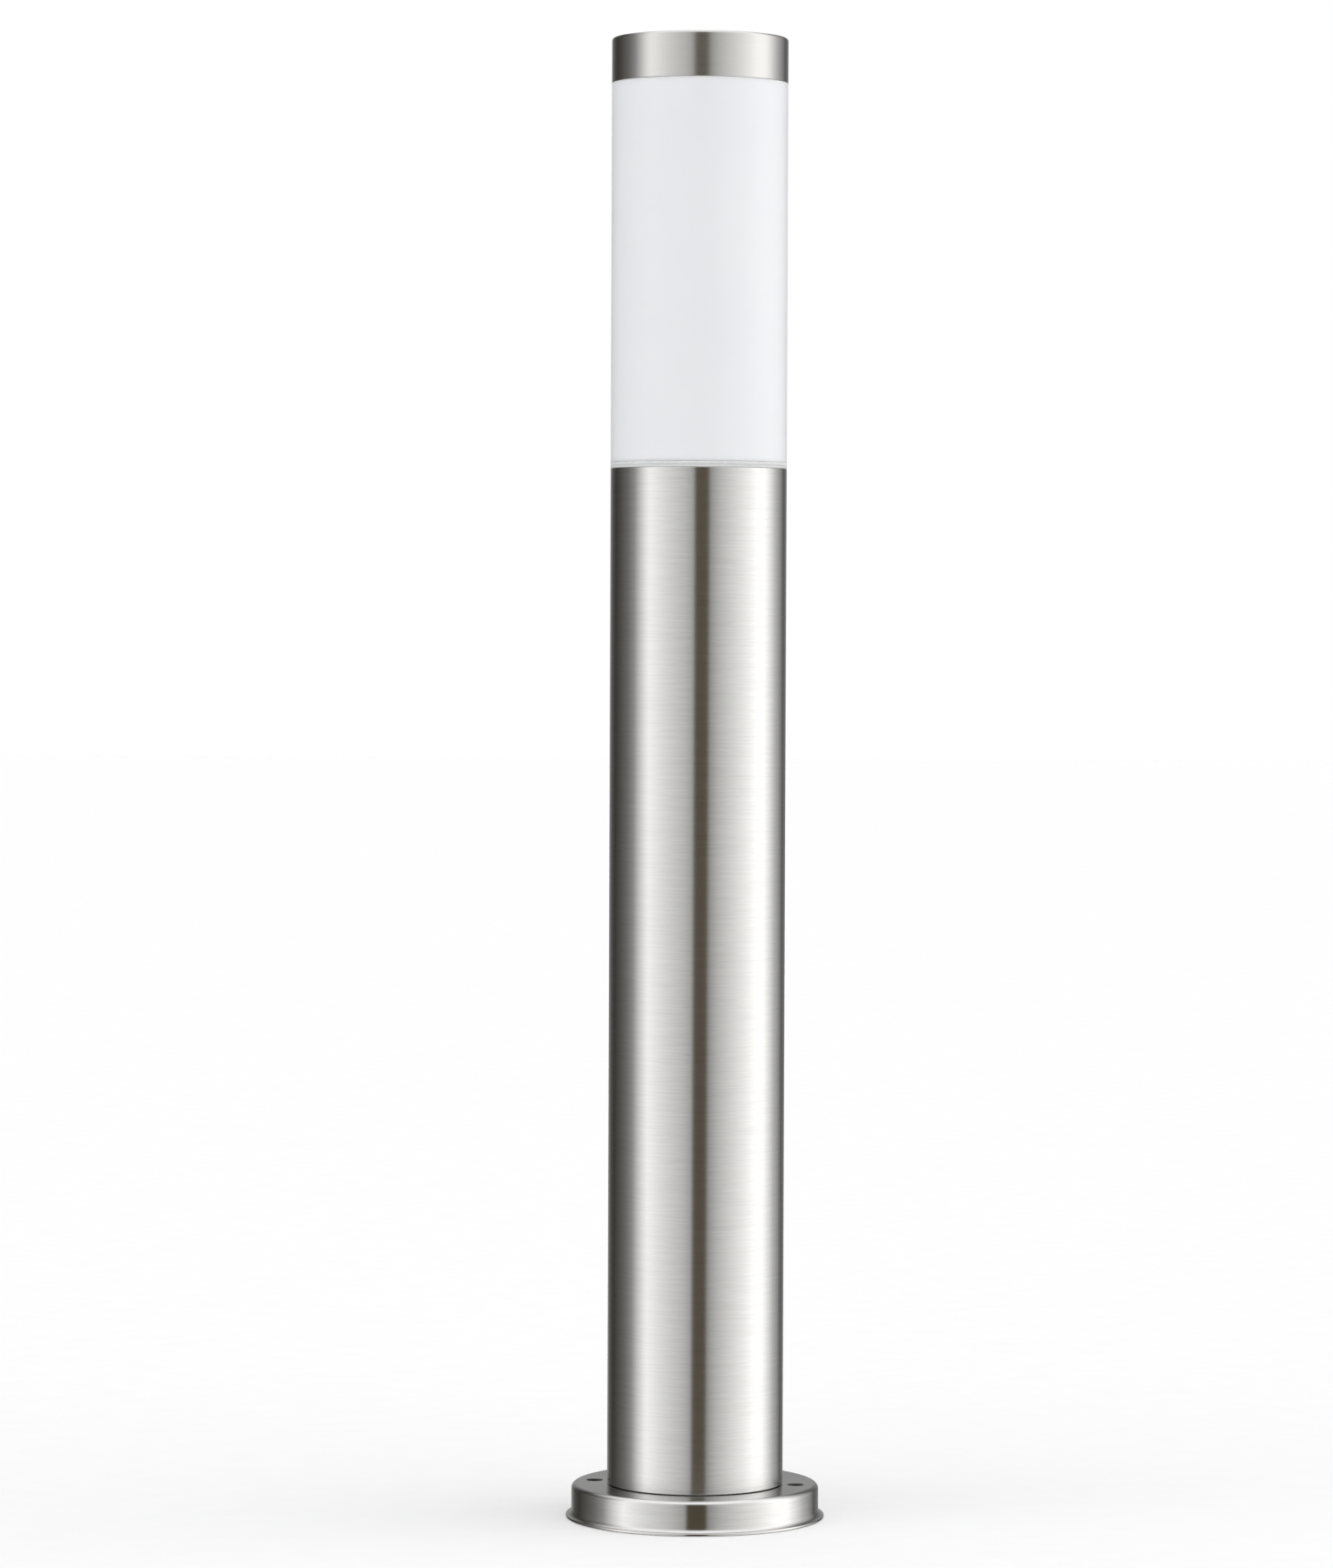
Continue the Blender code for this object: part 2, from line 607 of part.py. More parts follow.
def terminal_block():
    """Three poles. Each has a brass sleeve with a clamp screw above and one below."""
    frame = add_axis("terminal_frame", BLOCK_CENTRE)
    block = add_part("terminal_block", box_mesh("terminal_block", BLOCK), "white_plastic", parent=frame)
    front = BLOCK_CENTRE.y - BLOCK.y / 2
    facing_front = (math.pi / 2, 0.0, 0.0)
    for pole, x in POLES.items():
        low = (x, BLOCK_CENTRE.y, BLOCK_CENTRE.z - BLOCK.z)
        high = (x, BLOCK_CENTRE.y, BLOCK_CENTRE.z + BLOCK.z)
        bore([block], SLEEVE_R + GAP, low, high)
        half = SLEEVE_LENGTH / 2
        tube = [(SLEEVE_BORE_R, -half), (SLEEVE_R, -half), (SLEEVE_R, half), (SLEEVE_BORE_R, half)]
        sleeve = turned(f"terminal_sleeve_{pole}", tube, "brass", steps=TINY_STEPS, x=x, parent=frame)
        for level, z in (("lower", -CLAMP_SCREW_Z), ("upper", CLAMP_SCREW_Z)):
            mouth = (x, front - 1 * MM, BLOCK_CENTRE.z + z)
            bore([block], CLAMP_WELL_R, mouth, (x, BLOCK_CENTRE.y, BLOCK_CENTRE.z + z))
            bore([sleeve], CLAMP_SCREW_R + GAP, mouth, (x, BLOCK_CENTRE.y, BLOCK_CENTRE.z + z))
            pan_screw(
                f"terminal_screw_{pole}_{level}", 1.9 * MM, 1.2 * MM, CLAMP_SCREW_R, 3.4 * MM, "zinc_steel",
                (x, -4.4 * MM, z), facing_front, frame,
            )
    ends = [(BLOCK_SCREW_X, y, BLOCK_CENTRE.z) for y in (front - 1 * MM, front + BLOCK.y + 1 * MM)]
    bore([block], BLOCK_SCREW_HOLE_R, *ends)
    pan_screw(
        "terminal_block_screw", 2.4 * MM, 1.4 * MM, 1.5 * MM, BLOCK.y + 5 * MM, "zinc_steel",
        (BLOCK_SCREW_X, -BLOCK.y / 2 - GAP, 0.0), facing_front, frame,
    )


# ---- leads -----------------------------------------------------------------------------------


def leads():
    """Live and neutral climb the post to the lampholder, and earth loops back to the base plate."""
    entry = BLOCK_CENTRE.z + SLEEVE_LENGTH / 2 - 0.8 * MM
    holder_hole = HOLDER_BASE + HOLDER_WELL_FLOOR - 1.0 * MM
    live = "wire_live", "brown_lead", -1, 3.0
    neutral = "wire_neutral", "blue_lead", 1, -2.0
    for name, colour, side, sway in (live, neutral):
        pole = side * POLES["neutral"]
        lead(
            name,
            [
                (pole, BLOCK_CENTRE.y, entry),
                (pole, BLOCK_CENTRE.y, entry + 12 * MM),
                (pole * 1.15, BLOCK_CENTRE.y - 5 * MM, entry + 40 * MM),
                (pole * 0.9, sway * MM, entry + 110 * MM),
                (pole * 1.1, -2 * sway * MM, entry + 190 * MM),
                (pole * 0.8, 1.5 * sway * MM, entry + 270 * MM),
                (side * (WIRE_X + 1 * MM), sway * MM, FLOOR_BOTTOM - 45 * MM),
                (side * WIRE_X, 0.0, FLOOR_BOTTOM - 14 * MM),
                (side * WIRE_X, 0.0, FLOOR_BOTTOM),
                (side * WIRE_X, 0.0, holder_hole),
            ],
            colour,
        )
    lug_end = (EARTH_X + 9.3 * MM + GAP, EARTH_Y, PLATE_TOP + 3.2 * MM)
    lead(
        "earth_wire",
        [
            (POLES["earth"], BLOCK_CENTRE.y, entry),
            (POLES["earth"], BLOCK_CENTRE.y, entry + 9 * MM),
            (-1 * MM, BLOCK_CENTRE.y - 10 * MM, entry + 18 * MM),
            (-4 * MM, -10 * MM, entry + 12 * MM),
            (-5 * MM, -18 * MM, entry - 4 * MM),
            (-5 * MM, -20 * MM, entry - 20 * MM),
            (-4 * MM, -18 * MM, lug_end[2] + 5 * MM),
            (-7 * MM, -16.3 * MM, lug_end[2] + 0.8 * MM),
            lug_end,
        ],
        "green_lead",
        SHORT_WIRE_STEP,
    )


# ---- post and carrier ------------------------------------------------------------------------


def post_tube():
    foot = FLANGE_HEIGHT + GAP
    inner = TUBE_R - TUBE_WALL
    outline = [(inner, foot), (TUBE_R, foot), (TUBE_R, TUBE_TOP), (inner, TUBE_TOP)]
    turned("post_tube", outline, "brushed_steel")


def lamp_carrier():
    """A moulded cup. Its rim lies on the tube, its ledges hold the head and its floor the lampholder."""
    rim_bottom = TUBE_TOP + GAP
    outline = [
        (0.0, FLOOR_TOP),
        (CARRIER_BORE_R - 1.0 * MM, FLOOR_TOP),
        (CARRIER_BORE_R, FLOOR_TOP + 1.0 * MM),
        (CARRIER_BORE_R, CARRIER_TOP),
        (TUBE_R, CARRIER_TOP),
        (TUBE_R, rim_bottom),
        (CARRIER_R, rim_bottom),
        (CARRIER_R, FLOOR_BOTTOM),
        (0.0, FLOOR_BOTTOM),
    ]
    carrier = turned("lamp_carrier", outline, "white_plastic")
    wall = CARRIER_BORE_R + JOINED
    for angle in BAYONET_ANGLES:
        # Screwing the head down turns it clockwise, so each ledge lies clockwise of its slot.
        ledge = angle - LEDGE_END, angle - LEDGE_START
        arc_rib(carrier, LEDGE_R, wall, LEDGE_BOTTOM, LEDGE_HEIGHT, *ledge)
        stop_bottom = LUG_BOTTOM
        stop_height = LEDGE_BOTTOM + JOINED - stop_bottom
        arc_rib(carrier, LEDGE_R, wall, stop_bottom, stop_height, angle - LEDGE_END, angle - STOP_START)
    below, above = FLOOR_BOTTOM - 1 * MM, FLOOR_TOP + 1 * MM
    for side in (-1, 1):
        bore([carrier], ROD_HOLE_R, (side * ROD_X, 0, below), (side * ROD_X, 0, above))
        bore([carrier], 2.0 * MM, (side * WIRE_X, 0, below), (side * WIRE_X, 0, above))
        screw_y = side * HOLDER_SCREW_Y
        bore([carrier], HOLDER_SCREW_HOLE_R, (0, screw_y, below), (0, screw_y, above))


# ---- lampholder ------------------------------------------------------------------------------


def lampholder():
    holder = add_axis("lampholder_frame", (0.0, 0.0, HOLDER_BASE))
    well, height = HOLDER_WELL_FLOOR, HOLDER_HEIGHT
    outline = [
        (0.0, well),
        (HOLDER_WELL_R, well),
        (HOLDER_WELL_R, height - 1.2 * MM),
        (HOLDER_WELL_R + 1.2 * MM, height),
        (HOLDER_RIM_R - 0.8 * MM, height),
        (HOLDER_RIM_R, height - 0.8 * MM),
        (HOLDER_RIM_R, height - 4.0 * MM),
        (HOLDER_R, height - 5.0 * MM),
        (HOLDER_R, 18.0 * MM),
        (HOLDER_FOOT_R, 14.0 * MM),
        (HOLDER_FOOT_R, 0.0),
        (0.0, 0.0),
    ]
    body = turned("lampholder_body", outline, "porcelain", steps=SMALL_STEPS + 4, parent=holder)
    low, high = HOLDER_BASE - 1 * MM, HOLDER_BASE + well + 1 * MM
    for side in (-1, 1):
        bore([body], 1.8 * MM, (side * WIRE_X, 0, low), (side * WIRE_X, 0, high))
        screw_y = side * HOLDER_SCREW_Y
        bore([body], HOLDER_SCREW_HOLE_R, (0, screw_y, low), (0, screw_y, high))
    screw_length = well + GAP + CARRIER_FLOOR + 6.0 * MM
    for place, y in (("front", -HOLDER_SCREW_Y), ("back", HOLDER_SCREW_Y)):
        pan_screw(
            f"lampholder_screw_{place}", 3.8 * MM, 2.4 * MM, 2.0 * MM, screw_length, "zinc_steel",
            (0.0, y, well + GAP), parent=holder,
        )
        under_floor = -GAP - CARRIER_FLOOR - GAP
        nut(
            f"lampholder_nut_{place}", 4.04 * MM, 3.2 * MM, 2.3 * MM, "zinc_steel",
            0.0, y, under_floor - 3.2 * MM, parent=holder,
        )

    def shell_radius(phase, fade):
        return SHELL_MAJOR_R - THREAD_DEPTH / 2 * (1 - math.cos(phase)) * fade

    screw_thread("lampholder_shell", SHELL_BOTTOM, SHELL_TOP, shell_radius, SHELL_R, "nickel", holder)
    contact_strips(holder)


def contact_strips(holder):
    """The centre contact, a sprung tongue, and the strap that feeds the threaded shell."""
    sheet, foot = 0.6 * MM, HOLDER_WELL_FLOOR + GAP
    upright = (math.pi / 2, 0.0, 0.0)
    tongue = [
        (-10.5 * MM, foot),
        (-4.0 * MM, foot),
        (-1.0 * MM, CONTACT_TOP - sheet - 1.0 * MM),
        (0.5 * MM, CONTACT_TOP - sheet),
        (3.4 * MM, CONTACT_TOP - sheet),
        (5.0 * MM, CONTACT_TOP - 2.4 * MM),
        (5.6 * MM, CONTACT_TOP - 2.2 * MM),
        (3.8 * MM, CONTACT_TOP),
        (0.0, CONTACT_TOP),
        (-1.7 * MM, CONTACT_TOP - 1.3 * MM),
        (-4.5 * MM, foot + sheet),
        (-10.5 * MM, foot + sheet),
    ]
    plate("lampholder_contact", [tongue], 5.0 * MM, "brass", (0, 0, 0), upright, holder)
    strap = [
        (5.5 * MM, foot),
        (13.2 * MM, foot),
        (13.2 * MM, SHELL_BOTTOM - GAP),
        (13.2 * MM - sheet, SHELL_BOTTOM - GAP),
        (13.2 * MM - sheet, foot + sheet),
        (5.5 * MM, foot + sheet),
    ]
    plate("lampholder_strap", [strap], 5.0 * MM, "brass", (0, 0, 0), upright, holder)


# ---- lamp ------------------------------------------------------------------------------------


def lamp():
    """An E27 lamp, screwed home. Heights are above the lampholder's base."""
    axis = add_axis("lamp_axis", (0.0, 0.0, HOLDER_BASE))
    tip_z = CONTACT_TOP + GAP
    tip_top = tip_z + 1.6 * MM
    tip = [
        (0.0, tip_top),
        (4.6 * MM, tip_top),
        (4.6 * MM, tip_z + 0.9 * MM),
        (3.0 * MM, tip_z),
        (0.0, tip_z),
    ]
    turned("lamp_tip", tip, "nickel", steps=SMALL_STEPS, parent=axis)
    glass_z = tip_top + GAP
    glass_top = CAP_SHELL_BOTTOM - GAP
    insulator = [
        (0.0, glass_top),
        (11.2 * MM, glass_top),
        (9.6 * MM, glass_z + 1.6 * MM),
        (5.2 * MM, glass_z),
        (0.0, glass_z),
    ]
    turned("lamp_insulator", insulator, "black_glass", steps=SMALL_STEPS, parent=axis)

    def cap_radius(phase, fade):
        return LAMP_ROOT_R + THREAD_DEPTH / 2 * (1 + math.cos(phase)) * fade

    inside_r = LAMP_ROOT_R - 0.7 * MM
    screw_thread("lamp_screw_cap", CAP_SHELL_BOTTOM, CAP_SHELL_TOP, cap_radius, inside_r, "nickel", axis)
    lamp_housing(axis)
    lamp_globe(axis)


def lamp_housing(axis):
    foot = CAP_SHELL_TOP + GAP
    skin = LAMP_SKIN
    neck_r = 12.9 * MM
    outline = [
        (neck_r, foot),
        (neck_r + 0.4 * MM, foot + 4.0 * MM),
        (18.0 * MM, foot + 15.0 * MM),
        (LAMP_SHOULDER_R, LAMP_BOARD_Z - 1.5 * MM),
        (LAMP_SHOULDER_R, LAMP_BOARD_Z + 2.0 * MM),
        (LAMP_SHOULDER_R - skin, LAMP_BOARD_Z + 2.0 * MM),
        (LAMP_SHOULDER_R - skin, LAMP_BOARD_Z - GAP),
        (LAMP_SHOULDER_R - 2 * skin, LAMP_BOARD_Z - GAP),
        (18.0 * MM - skin, foot + 15.0 * MM),
        (neck_r - skin, foot + 4.0 * MM),
        (neck_r - skin, foot),
    ]
    turned("lamp_housing", outline, "white_plastic", steps=SMALL_STEPS, parent=axis)
    board_r = LAMP_SHOULDER_R - skin - GAP
    board_top = LAMP_BOARD_Z + 1.2 * MM
    board = [(0.0, board_top), (board_r, board_top), (board_r, LAMP_BOARD_Z), (0.0, LAMP_BOARD_Z)]
    turned("lamp_board", board, "white_plastic", steps=SMALL_STEPS, parent=axis)


def lamp_globe(axis):
    """A ball open underneath, standing on the housing's rim."""
    rim_z = LAMP_BOARD_Z + 2.0 * MM + GAP
    drop = math.sqrt(LAMP_GLOBE_R**2 - (LAMP_SHOULDER_R - GAP) ** 2)
    outer_end = -math.degrees(math.asin(drop / LAMP_GLOBE_R))
    inner_r = LAMP_GLOBE_R - LAMP_SKIN
    inner_end = -math.degrees(math.asin(drop / inner_r))
    outline = arc(0.0, rim_z + drop, LAMP_GLOBE_R, 90, outer_end, 9)
    outline += arc(0.0, rim_z + drop, inner_r, inner_end, 90, 7)
    outline[0] = (0.0, outline[0][1])
    outline[-1] = (0.0, outline[-1][1])
    turned("lamp_globe", outline, "opal_plastic", steps=SMALL_STEPS, parent=axis)


# ---- head ------------------------------------------------------------------------------------


def head():
    axis = add_axis("head_axis", (0.0, 0.0, SHOULDER))
    seal_z = CARRIER_TOP + GAP - SHOULDER
    seal = [(NECK_R + GAP, seal_z), (TUBE_R, seal_z), (TUBE_R, 0.0), (NECK_R + GAP, 0.0)]
    turned("head_seal", seal, "silicone", parent=axis)
    diffuser(axis)
    top_cap(axis)


def diffuser(axis):
    """An opal beaker, mouth down, with a stepped neck at each end. Heights are above the shoulder."""
    neck_end, cap_z, end = NECK_END - SHOULDER, CAP_EDGE - SHOULDER - GAP, DIFFUSER_END - SHOULDER
    inner = TUBE_R - DIFFUSER_WALL
    top_inner = CAP_NECK_R - DIFFUSER_WALL
    hole = STUD_R + GAP
    outline = [(hole, end)]
    outline += arc(CAP_NECK_R - 1.5 * MM, end - 1.5 * MM, 1.5 * MM, 90, 0, 2)
    outline += [
        (CAP_NECK_R, cap_z),
        (TUBE_R, cap_z),
        (TUBE_R, GAP),
        (NECK_R, GAP),
        (NECK_R, neck_end),
        (NECK_R - NECK_WALL, neck_end),
        (NECK_R - NECK_WALL, GAP + DIFFUSER_WALL),
        (inner, GAP + 2 * DIFFUSER_WALL),
        (inner, cap_z - DIFFUSER_WALL),
        (top_inner, cap_z),
        (top_inner, end - DIFFUSER_WALL),
        (hole, end - DIFFUSER_WALL),
    ]
    beaker = turned("diffuser", outline, "opal_plastic", parent=axis)
    for angle in BAYONET_ANGLES:
        arc_rib(
            beaker, NECK_R - JOINED, LUG_R, LUG_BOTTOM, LUG_HEIGHT,
            angle - LUG_HALF_ANGLE, angle + LUG_HALF_ANGLE,
        )


def top_cap(axis):
    """A drawn cap on the diffuser's end, held by a welded stud, a sealing washer and a nut."""
    edge, top = CAP_EDGE - SHOULDER, TOP - SHOULDER
    inner_fillet = CAP_FILLET - CAP_SHEET
    outline = [(0.0, top)]
    outline += arc(TUBE_R - CAP_FILLET, top - CAP_FILLET, CAP_FILLET, 90, 0, 3)
    outline += [(TUBE_R, edge), (TUBE_R - CAP_SHEET, edge)]
    outline += arc(TUBE_R - CAP_FILLET, top - CAP_FILLET, inner_fillet, 0, 90, 2)
    outline += [(0.0, top - CAP_SHEET)]
    turned("top_cap", outline, "brushed_steel", parent=axis)
    stud_top = top - CAP_SHEET - GAP
    stud = [
        (0.0, stud_top),
        (STUD_HEAD_R, stud_top),
        (STUD_HEAD_R, stud_top - 1.0 * MM),
        (STUD_R, stud_top - 1.0 * MM),
        (STUD_R, stud_top - STUD_LENGTH),
        (0.0, stud_top - STUD_LENGTH),
    ]
    turned("cap_stud", stud, "zinc_steel", steps=TINY_STEPS, parent=axis)
    under = DIFFUSER_END - DIFFUSER_WALL - SHOULDER - GAP
    washer_z = under - CAP_WASHER_THICKNESS
    nut_z = washer_z - GAP - CAP_NUT_HEIGHT
    hole_r = STUD_R + GAP
    washer("cap_washer", CAP_WASHER_R, hole_r, CAP_WASHER_THICKNESS, "black_rubber", 0, 0, washer_z, axis)
    nut("cap_nut", CAP_NUT_CORNER_R, CAP_NUT_HEIGHT, hole_r, "zinc_steel", 0, 0, nut_z, axis)


clear_scene()
parts = add_collection("bollard_light")
cutters = add_collection("cutters")
base_flange()
base_plate()
cable_grommet()
tie_rods()
earth_point()
terminal_bracket()
terminal_block()
leads()
post_tube()
lamp_carrier()
lampholder()
lamp()
head()
shade_parts()
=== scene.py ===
"""Looks of the bollard light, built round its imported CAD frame.

Pieces get their places from the boxes of the CAD nodes that they stand for.
Metres, +Z up, the front of the light towards -Y.
"""

import math

import bmesh
import bpy
from mathutils import Matrix, Vector


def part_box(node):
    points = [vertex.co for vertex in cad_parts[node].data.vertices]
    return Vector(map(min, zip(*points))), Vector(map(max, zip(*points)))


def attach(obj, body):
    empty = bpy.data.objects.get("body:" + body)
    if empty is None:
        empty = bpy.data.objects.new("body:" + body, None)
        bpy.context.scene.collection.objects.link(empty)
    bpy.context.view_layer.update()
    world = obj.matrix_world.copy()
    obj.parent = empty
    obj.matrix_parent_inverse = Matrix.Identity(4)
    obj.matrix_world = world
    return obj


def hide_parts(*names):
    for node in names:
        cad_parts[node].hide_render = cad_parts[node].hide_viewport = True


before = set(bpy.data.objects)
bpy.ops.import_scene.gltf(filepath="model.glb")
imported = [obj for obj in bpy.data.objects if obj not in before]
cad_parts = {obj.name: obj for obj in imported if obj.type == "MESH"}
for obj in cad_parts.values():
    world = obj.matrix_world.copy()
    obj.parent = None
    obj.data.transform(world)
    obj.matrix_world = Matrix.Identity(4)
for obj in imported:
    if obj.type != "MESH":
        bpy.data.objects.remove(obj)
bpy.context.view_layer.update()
scene = bpy.context.scene

MM = 0.001
FINE = 256  # sides of the large turned pieces
MEDIUM = 96  # of the lamp and its holder
SMALL = 48  # of screws, nuts and washers
THREAD_RINGS = 8  # rings of points to a thread's pitch
LAMP_PITCH = 3.629 * MM
METRIC_PITCH = 0.8 * MM
FINE_PITCH = 0.6 * MM
GAP = 0.3 * MM  # between the CAD model's pieces that touch
FIT = 0.05 * MM  # between pieces that touch and show

# Sizes that the CAD model's boxes don't show.
BAYONET_ANGLES = (90.0, 210.0, 330.0)
LUG_HALF_ANGLE = 14.0
LUG_R = 34.1 * MM
LUG_LIFT = 0.7 * MM  # of the lugs above the neck's end
LUG_HEIGHT = 3.4 * MM
CARRIER_FLOOR = 2.5 * MM
LEAD_X = 7.0 * MM
FIXING_HOLE_R = 3.5 * MM
FIXING_HOLES_OUT = 44.0 * MM  # of their centres from the post's axis
FIXING_HOLES_TURN = -7.5  # degrees, so that the right one is a little to the front
HOLDER_SCREW_HOLE_R = 2.3 * MM
ROD_HOLE_R = 2.8 * MM
EARTH_HOLE_R = 2.3 * MM
BLOCK_SCREW_HOLE_R = 1.8 * MM
RIVET_R = 1.6 * MM
SCREW_THREAD_DEPTH = 0.35 * MM
LAMP_THREAD_DEPTH = 1.05 * MM
RODS = ("tie_rod_left", "tie_rod_right")
HOLDER_SCREWS = ("lampholder_screw_front", "lampholder_screw_back")
RIVETS = ("bracket_rivet_left", "bracket_rivet_right")
POLES = ("live", "earth", "neutral")

# The camera. Its sensor's long side stands for the 1800 pixels of the frame's height.
FRAME_PIXELS = 1800
SENSOR = 36.0
CAMERA_DISTANCE = 2.45
EYE_HEIGHT = 0.396
FOCAL_PIXELS = 6494.0
PITCH_DOWN = math.radians(1.3)
ROLL = math.radians(-0.223)
SHIFT_RIGHT = -0.0202
SHIFT_UP = -0.0331


# ---- shapes ----


def rounded(corners, steps=5):
    """A closed outline of points from (x, y, radius) corners, each rounded off by its radius."""
    points = []
    count = len(corners)
    for i, (x, y, radius) in enumerate(corners):
        here = Vector((x, y))
        before = Vector(corners[i - 1][:2]) - here
        after = Vector(corners[(i + 1) % count][:2]) - here
        if radius <= 0.0:
            points.append((x, y))
            continue
        half = before.angle(after) / 2
        room = 0.49 * min(before.length, after.length)
        setback = min(radius / math.tan(half), room)
        first = here + before.normalized() * setback
        last = here + after.normalized() * setback
        bisector = (before.normalized() + after.normalized()).normalized()
        centre = here + bisector * (setback / math.cos(half))
        start, end = first - centre, last - centre
        sweep = start.angle_signed(end)
        for k in range(steps + 1):
            turn = -sweep * k / steps
            c, s = math.cos(turn), math.sin(turn)
            points.append((centre.x + start.x * c - start.y * s, centre.y + start.x * s + start.y * c))
    return points


def arc(x, y, width, height, start, end, steps):
    """Points along an ellipse, or a circle, between two angles in degrees."""
    turns = [math.radians(start + (end - start) * k / steps) for k in range(steps + 1)]
    return [(x + width * math.cos(a), y + height * math.sin(a)) for a in turns]


def circle(edit, r, z, steps, x=0.0, y=0.0):
    """A ring of vertices, or the one vertex on the axis repeated."""
    if r == 0.0:
        return [edit.verts.new((x, y, z))] * steps
    turns = [math.tau * k / steps for k in range(steps)]
    return [edit.verts.new((x + r * math.cos(a), y + r * math.sin(a), z)) for a in turns]


def skin(edit, rings, closed):
    """Faces between each ring of vertices and the next."""
    pairs = list(zip(rings, rings[1:]))
    if closed:
        pairs.append((rings[-1], rings[0]))
    for near, far in pairs:
        for k in range(len(near)):
            j = (k + 1) % len(near)
            corners = list(dict.fromkeys((near[k], near[j], far[j], far[k])))
            if len(corners) > 2:
                edit.faces.new(corners)
    bmesh.ops.recalc_face_normals(edit, faces=edit.faces)


def from_bmesh(name, edit):
    mesh = bpy.data.meshes.new(name)
    edit.to_mesh(mesh)
    edit.free()
    mesh.shade_smooth()
    obj = bpy.data.objects.new(name, mesh)
    scene.collection.objects.link(obj)
    return obj


def lathe(name, outline, steps=FINE, x=0.0, y=0.0):
    """A turned piece. An outline that ends on the axis is closed there, and any other on itself."""
    edit = bmesh.new()
    rings = [circle(edit, r, z, steps, x, y) for r, z in outline]
    ends_on_axis = outline[0][0] == outline[-1][0] == 0.0
    skin(edit, rings, not ends_on_axis)
    return from_bmesh(name, edit)


def thread_rings(edit, low, high, crest, root, pitch, steps, x=0.0, y=0.0, datum=None):
    """Rings of a right-hand rolled thread, which runs out to its crest at both ends."""
    datum = low if datum is None else datum
    count = round((high - low) / pitch * THREAD_RINGS)
    rings = []
    for i in range(count + 1):
        z = low + (high - low) * i / count
        fade = min(1.0, min(i, count - i) / THREAD_RINGS)
        ring = []
        for k in range(steps):
            a = math.tau * k / steps
            wave = 0.5 - 0.5 * math.cos(math.tau * (z - datum) / pitch - a)
            r = crest - (crest - root) * wave * fade
            ring.append(edit.verts.new((x + r * math.cos(a), y + r * math.sin(a), z)))
        rings.append(ring)
    return rings


def threaded_bar(name, foot, threads, top, pitch, x=0.0, y=0.0):
    """A bar through (r, z) points at its foot, (low, high, crest, root) threads, and points at its top."""
    edit = bmesh.new()
    rings = [circle(edit, r, z, SMALL, x, y) for r, z in foot]
    for low, high, crest, root in threads:
        rings += thread_rings(edit, low, high, crest, root, pitch, SMALL, x, y)
    rings += [circle(edit, r, z, SMALL, x, y) for r, z in top]
    skin(edit, rings, False)
    return from_bmesh(name, edit)


def threaded_sleeve(name, low, high, crest, root, sheet, datum):
    """A sheet-metal sleeve with a thread on both its sides."""
    edit = bmesh.new()
    outer = thread_rings(edit, low, high, crest, root, LAMP_PITCH, MEDIUM, datum=datum)
    inner = thread_rings(edit, low, high, crest - sheet, root - sheet, LAMP_PITCH, MEDIUM, datum=datum)
    skin(edit, outer + inner[::-1], True)
    return from_bmesh(name, edit)


def prism(name, outline, low, high, axis="Z"):
    """An outline extruded along an axis. Its points are on the other two axes in order."""
    edit = bmesh.new()

    def at(point, depth):
        u, v = point
        return {"X": (depth, u, v), "Y": (u, depth, v), "Z": (u, v, depth)}[axis]

    near = [edit.verts.new(at(point, low)) for point in outline]
    far = [edit.verts.new(at(point, high)) for point in outline]
    edit.faces.new(near)
    edit.faces.new(far)
    for k in range(len(outline)):
        j = (k + 1) % len(outline)
        edit.faces.new((near[k], near[j], far[j], far[k]))
    bmesh.ops.recalc_face_normals(edit, faces=edit.faces)
    return from_bmesh(name, edit)


def rectangle(left, near, right, far):
    return [(left, near), (right, near), (right, far), (left, far)]


def square_ring(inner, outer, low, high, edge, steps):
    """The outline of a turned ring with a square section."""
    return rounded([(inner, low, edge), (outer, low, edge), (outer, high, edge), (inner, high, edge)], steps)


def sector(inner, outer, start, end, steps=16):
    """The outline of a piece of a ring, between two angles in degrees."""
    return arc(0.0, 0.0, outer, outer, start, end, steps) + arc(0.0, 0.0, inner, inner, end, start, steps)


def drill(radius, start, end, steps=32):
    """A round cutter between two points."""
    start, end = Vector(start), Vector(end)
    along = end - start
    edit = bmesh.new()
    bmesh.ops.create_cone(
        edit, cap_ends=True, segments=steps, radius1=radius, radius2=radius, depth=along.length
    )
    turn = along.to_track_quat("Z", "Y").to_matrix().to_4x4()
    edit.transform(Matrix.Translation((start + end) / 2) @ turn)
    return from_bmesh("drill", edit)


def drill_down(radius, x, y, low, high, steps=32):
    """An upright cutter that passes a millimetre out at both ends."""
    return drill(radius, (x, y, low - MM), (x, y, high + MM), steps)


def drill_for(nodes, radius, low, high):
    """An upright cutter for each of the nodes that go through a piece."""
    made = []
    for node in nodes:
        x, y, *_ = spot(node)
        made.append(drill_down(radius, x, y, low, high))
    return made


def sunk_bore(radius, low, high, sink, x, y):
    """An upright cutter for a bore that is countersunk at both ends."""
    outline = [
        (0.0, low - sink),
        (radius + 2 * sink, low - sink),
        (radius, low + sink),
        (radius, high - sink),
        (radius + 2 * sink, high + sink),
        (0.0, high + sink),
    ]
    return lathe("sunk_bore", outline, SMALL, x, y)


def apply_modifiers(obj):
    bpy.context.view_layer.update()
    graph = bpy.context.evaluated_depsgraph_get()
    mesh = bpy.data.meshes.new_from_object(obj.evaluated_get(graph))
    obj.modifiers.clear()
    obj.data = mesh
    return obj


def bevel(obj, width, segments=3):
    modifier = obj.modifiers.new("bevel", "BEVEL")
    modifier.width = width
    modifier.segments = segments
    modifier.limit_method = "ANGLE"
    modifier.angle_limit = math.radians(40.0)
    return apply_modifiers(obj)


